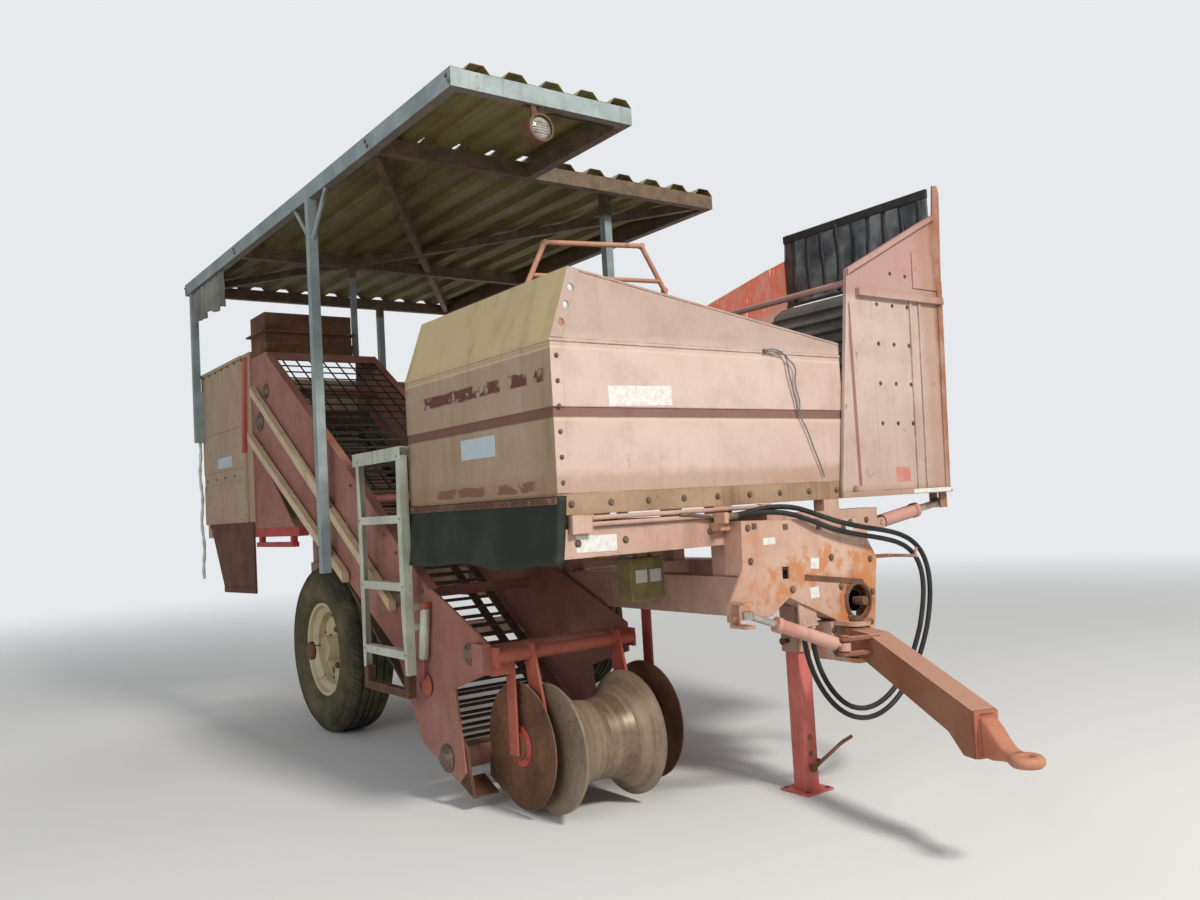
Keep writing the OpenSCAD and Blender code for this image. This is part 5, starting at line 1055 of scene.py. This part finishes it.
# Nuts, hub caps and valves of the road wheels
def add_wheel_fittings():
    washer = [(0, 0.021), (0.004, 0.021)]
    nut = [(0, 0.0165), (0.012, 0.0165), (0.015, 0.013)]
    cap = [(-0.004, 0.055), (0.012, 0.055), (0.022, 0.048), (0.026, 0.030), (0.027, 0.004)]
    rivet = [(-0.001, 0.008), (0.004, 0.008), (0.006, 0.004)]
    for name, side, stub in (("wheel_right", -1, 0.185), ("wheel_left", 1, 0.075)):
        x = side * WHEEL_X
        out = (side, 0, 0)
        hub = Piece(name + "_nuts", name)

        def spot(away, reach, degrees):
            t = math.radians(degrees)
            return Vector((x + side * away, WHEEL_Y + reach * math.sin(t), WHEEL_Z + reach * math.cos(t)))

        for k in range(6):
            hub.turned(spot(0.025, 0.110, 60 * k), out, washer, 18, False)
            hub.turned(spot(0.029, 0.110, 60 * k), out, nut, 6, False, 0.3)
        hub.turned((x + side * stub, WHEEL_Y, WHEEL_Z), out, cap, 28)
        for k in range(8):
            hub.turned(spot(0.025, 0.205, 22.5 + 45 * k), out, rivet, 12)
        hub.tube([spot(0.05, 0.215, 90), spot(0.075, 0.212, 90), spot(0.100, 0.206, 90)], 0.004, 8)
        hub.make(RUST)


add_wheel_fittings()


# Foam strip down the rear edge
def add_rear_strip():
    strip = Piece("rear_foam")
    pts = [(-1.175, 3.006, 1.95 - 0.075 * k) for k in range(15)]
    line = [(x + 0.006 * math.sin(k * 1.3), y - 0.012 * k / 14, z) for k, (x, y, z) in enumerate(pts)]
    strip.tube(smooth_line(line, 4), lambda t: 0.011 + 0.002 * math.sin(t * 61.0), 10)
    strip.make(FOAM)


add_rear_strip()


# Small hydraulic cylinder beside the ladder, with its rod and disc
def add_depth_gear():
    gear = Piece("depth_cylinder")
    down = (0, 0.18, -1)
    gear.turned((-1.168, -0.70, 0.86), down, [(0, 0.020), (0.006, 0.023), (0.230, 0.023), (0.236, 0.018)], 20)
    gear.make(PAINTED_LIGHT_ZINC)
    rod = Piece("depth_rod")
    rod.turned((-1.168, -0.66, 0.63), down, [(0, 0.010), (0.12, 0.010)], 14)
    disc = [(0, 0.052), (0.008, 0.052), (0.012, 0.040), (0.030, 0.022)]
    rod.turned((-1.145, -0.638, 0.505), RIGHT, disc, 26)
    rod.turned((-1.141, -0.70, 0.87), RIGHT, [(0, 0.016), (0.052, 0.016)], 14)
    rod.make(PAINT["red"])


add_depth_gear()


# Hubs of the cutting discs, and a valve box under the bunker
def add_lower_fittings():
    y, z = DISC
    flange = [(0.0, 0.088), (0.006, 0.088), (0.010, 0.070), (0.014, 0.050), (0.015, 0.021)]
    for name, x, side in (("disc_right", -0.993, -1), ("disc_left", -0.317, 1)):
        hub = Piece(name + "_hub", name + "_body")
        hub.turned((x, y, z), (side, 0, 0), flange, 32)
        for k in range(5):
            t = math.radians(72 * k)
            at = (x + side * 0.0095, y + 0.075 * math.cos(t), z + 0.075 * math.sin(t))
            hub.bolt(at, (side, 0, 0), 0.007, 0.005, False)
        hub.make(PAINT["post"])
    box = Piece("valve_box")
    box.box(-0.553, -0.3705, -1.4435, -1.347, 0.857, 1.043, 0.004)
    for x in (-0.50, -0.42):
        box.rod((x, -1.41, 1.041), (x, -1.41, 1.075), 0.010)
    box.make(OLIVE)
    panes = Piece("valve_panes")
    for x in (-0.528, -0.448):
        panes.box(x, x + 0.062, -1.4450, -1.4430, 0.935, 0.990, 0.0005)
    panes.make(WHITE)


add_lower_fittings()


# Belt of the picking table, cleats of the elevator, control levers, rear lamps and bolts
def add_left_fittings():
    belt = Piece("table_belt")
    belt.box(-0.340, 0.470, TABLE_Y + 0.02, REAR_Y0 - 0.02, TABLE_Z + 0.0805, TABLE_Z + 0.0845, 0.001)
    pitch = 0.045
    for k in range(int((REAR_Y0 - TABLE_Y - 0.10) / pitch)):
        y = TABLE_Y + 0.05 + pitch * k
        belt.rod((-0.338, y, TABLE_Z + 0.0865), (0.468, y, TABLE_Z + 0.0865), 0.0045, 8)
    foot = Vector((0, TABLE_Y - 0.03, TABLE_Z + 0.098))
    top = Vector((0, -0.540, 2.235))
    along = (top - foot).normalized()
    up = Vector((0, along.z, -along.y))
    turn = Matrix((Vector(LEFT), along, up)).transposed()
    for k in range(9):
        at = foot + along * (0.06 + (top - foot).length * 0.94 * k / 9) + up * 0.030 + Vector((-0.03, 0, 0))
        belt.block(at, (0.300, 0.004, 0.024), turn, 0.001)
    belt.make(BELT)
    box = Piece("lever_box")
    box.box(1.062, 1.098, 0.62, 0.92, FLOOR_Z + 0.80, FLOOR_Z + 0.955, 0.004)
    box.bolts((1.062, 0.64, FLOOR_Z + 0.82), (1.062, 0.90, FLOOR_Z + 0.82), 2, RIGHT, 0.006, 0.005)
    box.make(ZINC)
    levers = Piece("levers")
    knob = [(0, 0.006), (0.006, 0.013), (0.018, 0.016), (0.030, 0.012), (0.034, 0.004)]
    for k in range(4):
        y = 0.665 + 0.07 * k
        tip = Vector((1.040 - 0.012 * (k % 2), y, FLOOR_Z + 1.075))
        levers.rod((1.078, y, FLOOR_Z + 0.950), tip, 0.005, 10)
        levers.turned(tip - Vector((0, 0, 0.006)), UP, knob, 18)
    levers.make(BLACK)
    lamps = Piece("rear_lamps")
    shells = Piece("rear_lamp_shells")
    lens = [(0, 0.023), (0.008, 0.022), (0.013, 0.014), (0.0135, 0.003)]
    y, z = REAR_Y1, REAR_Z0 + 0.135
    for x in (REAR_X0 + 0.14, REAR_X1 - 0.14):
        shells.box(x - 0.062, x + 0.062, y + 0.0005, y + 0.020, z - 0.050, z + 0.050, 0.004)
        lamps.box(x - 0.054, x + 0.004, y + 0.019, y + 0.034, z - 0.042, z + 0.042, 0.005)
        lamps.turned((x + 0.033, y + 0.019, z), BACK, lens, 24)
    shells.make(BLACK)
    lamps.make(RED_GLASS)
    nuts = Piece("rear_bolts")
    for x in (REAR_X0 + 0.03, REAR_X1 - 0.03):
        nuts.bolts((x, REAR_Y1, REAR_Z0 + 0.25), (x, REAR_Y1, REAR_Z1 - 0.05), 5, BACK, 0.008, 0.006)
    nuts.bolts((REAR_X0 + 0.2, REAR_Y1, REAR_Z0 + 0.03), (REAR_X1 - 0.2, REAR_Y1, REAR_Z0 + 0.03), 7, BACK,
               0.008, 0.006)
    nuts.bolts((REAR_X1, 2.05, REAR_Z0 + 0.03), (REAR_X1, 2.92, REAR_Z0 + 0.03), 6, LEFT, 0.008, 0.006)
    for y in (0.35, 0.95, 1.60):
        nuts.bolt((BEAM_LEFT, y, 0.98), LEFT, 0.011)
        nuts.bolt((BEAM_LEFT, y + 0.05, 0.98), LEFT, 0.011)
    nuts.make(STEEL)


add_left_fittings()


# Pale strip on the boom's foot
def add_boom_strip():
    strip = Piece("boom_strip", "boom")
    strip.box(0.855, 1.147, -1.8766, -1.8748, 1.2535, 1.2735, 0.0004)
    strip.make(WHITE)


add_boom_strip()


# Two rope ends left hanging on the bunker's front
def add_ropes():
    base = -1.857
    long_end = [(-0.075, base, 1.905), (-0.03, base - 0.006, 1.912), (0.02, base - 0.008, 1.900),
                (0.045, base - 0.009, 1.872), (0.060, base - 0.008, 1.80), (0.085, base - 0.006, 1.71),
                (0.105, base - 0.004, 1.64), (0.150, base - 0.006, 1.56), (0.190, base - 0.006, 1.47),
                (0.225, base - 0.005, 1.40), (0.245, base - 0.004, 1.352)]
    short_end = [(-0.075, base - 0.004, 1.898), (-0.02, base - 0.012, 1.900), (0.030, base - 0.013, 1.890),
                 (0.056, base - 0.013, 1.868), (0.085, base - 0.010, 1.85), (0.098, base - 0.010, 1.82),
                 (0.092, base - 0.008, 1.78), (0.098, base - 0.006, 1.74), (0.115, base - 0.005, 1.69),
                 (0.112, base - 0.005, 1.64)]
    for name, run in (("rope_long", long_end), ("rope_short", short_end)):
        line = smooth_line(run, 6)
        rope = Piece(name)
        rope.tube(line, 0.0032, 8)
        rope.make(ROPE)
    knob = Piece("rope_knob")
    knob.turned((-0.078, base + 0.005, 1.903), FRONT, [(0, 0.009), (0.014, 0.009), (0.017, 0.004)], 14)
    knob.make(STEEL)


add_ropes()


BACKDROP = (0.80, 0.82, 0.84, 1)


# Pale floor that takes the background's colour far from the machine, for the camera alone
def add_floor():
    m = Mat("floor_pale")
    m.finish((0.70, 0.70, 0.69), 0.9)
    reach = m.node("ShaderNodeVectorMath", operation="LENGTH")
    m.link(m.node("ShaderNodeNewGeometry").outputs["Position"], reach.inputs[0])
    glow = m.node("ShaderNodeEmission")
    glow.inputs[0].default_value = BACKDROP
    seen = m.node("ShaderNodeLightPath").outputs["Is Camera Ray"]
    blend = m.node("ShaderNodeMixShader")
    m.link(m.times(m.step(reach.outputs["Value"], 4.5, 15.0), seen), blend.inputs[0])
    m.link(m.bsdf.outputs[0], blend.inputs[1])
    m.link(glow.outputs[0], blend.inputs[2])
    m.link(blend.outputs[0], m.out.inputs[0])
    mesh = bpy.data.meshes.new("floor")
    mesh.from_pydata([(-60, -60, 0), (60, -60, 0), (60, 60, 0), (-60, 60, 0)], [], [(0, 1, 2, 3)])
    mesh.materials.append(m.mat)
    floor = bpy.data.objects.new("floor", mesh)
    floor.location.z = -0.0005
    bpy.context.scene.collection.objects.link(floor)


add_floor()


# Soft studio light: what lights the machine is dimmer than what the camera and clear things see
def add_world():
    world = bpy.data.worlds.new("studio")
    bpy.context.scene.world = world
    world.use_nodes = True
    tree = world.node_tree
    tree.nodes.clear()
    lit, seen = (tree.nodes.new("ShaderNodeBackground") for _ in range(2))
    for shader, colour, level in ((lit, (0.92, 0.96, 1.0, 1), 0.36), (seen, BACKDROP, 1.0)):
        shader.inputs[0].default_value = colour
        shader.inputs[1].default_value = level
    path = tree.nodes.new("ShaderNodeLightPath")
    either = tree.nodes.new("ShaderNodeMath")
    either.operation = "MAXIMUM"
    mix = tree.nodes.new("ShaderNodeMixShader")
    out = tree.nodes.new("ShaderNodeOutputWorld")
    for a, b in ((path.outputs["Is Camera Ray"], either.inputs[0]),
                 (path.outputs["Is Transmission Ray"], either.inputs[1]), (either.outputs[0], mix.inputs[0]),
                 (lit.outputs[0], mix.inputs[1]), (seen.outputs[0], mix.inputs[2]),
                 (mix.outputs[0], out.inputs[0])):
        tree.links.new(a, b)


add_world()


# A sun-like key, and two dimmer lights that open the shadows
def add_lights():
    def lamp(name, at, aim, size, power, colour):
        data = bpy.data.lights.new(name, "AREA")
        data.shape = "DISK"
        data.size = size
        data.energy = power
        data.color = colour
        obj = bpy.data.objects.new(name, data)
        obj.location = at
        obj.rotation_euler = (Vector(aim) - Vector(at)).to_track_quat("-Z", "Y").to_euler()
        bpy.context.scene.collection.objects.link(obj)

    lamp("key", (0.3, -11.6, 9.3), (0, -0.6, 1.2), 2.2, 1560, (1.0, 0.965, 0.90))
    lamp("fill", (-9.5, -5.0, 5.0), (0, 0, 1.2), 6.0, 300, (0.95, 0.98, 1.0))
    lamp("back", (5.0, 9.0, 7.0), (0, 0, 1.4), 5.0, 260, (1.0, 0.99, 0.97))


add_lights()

scene = bpy.context.scene
scene.view_settings.view_transform = "Standard"
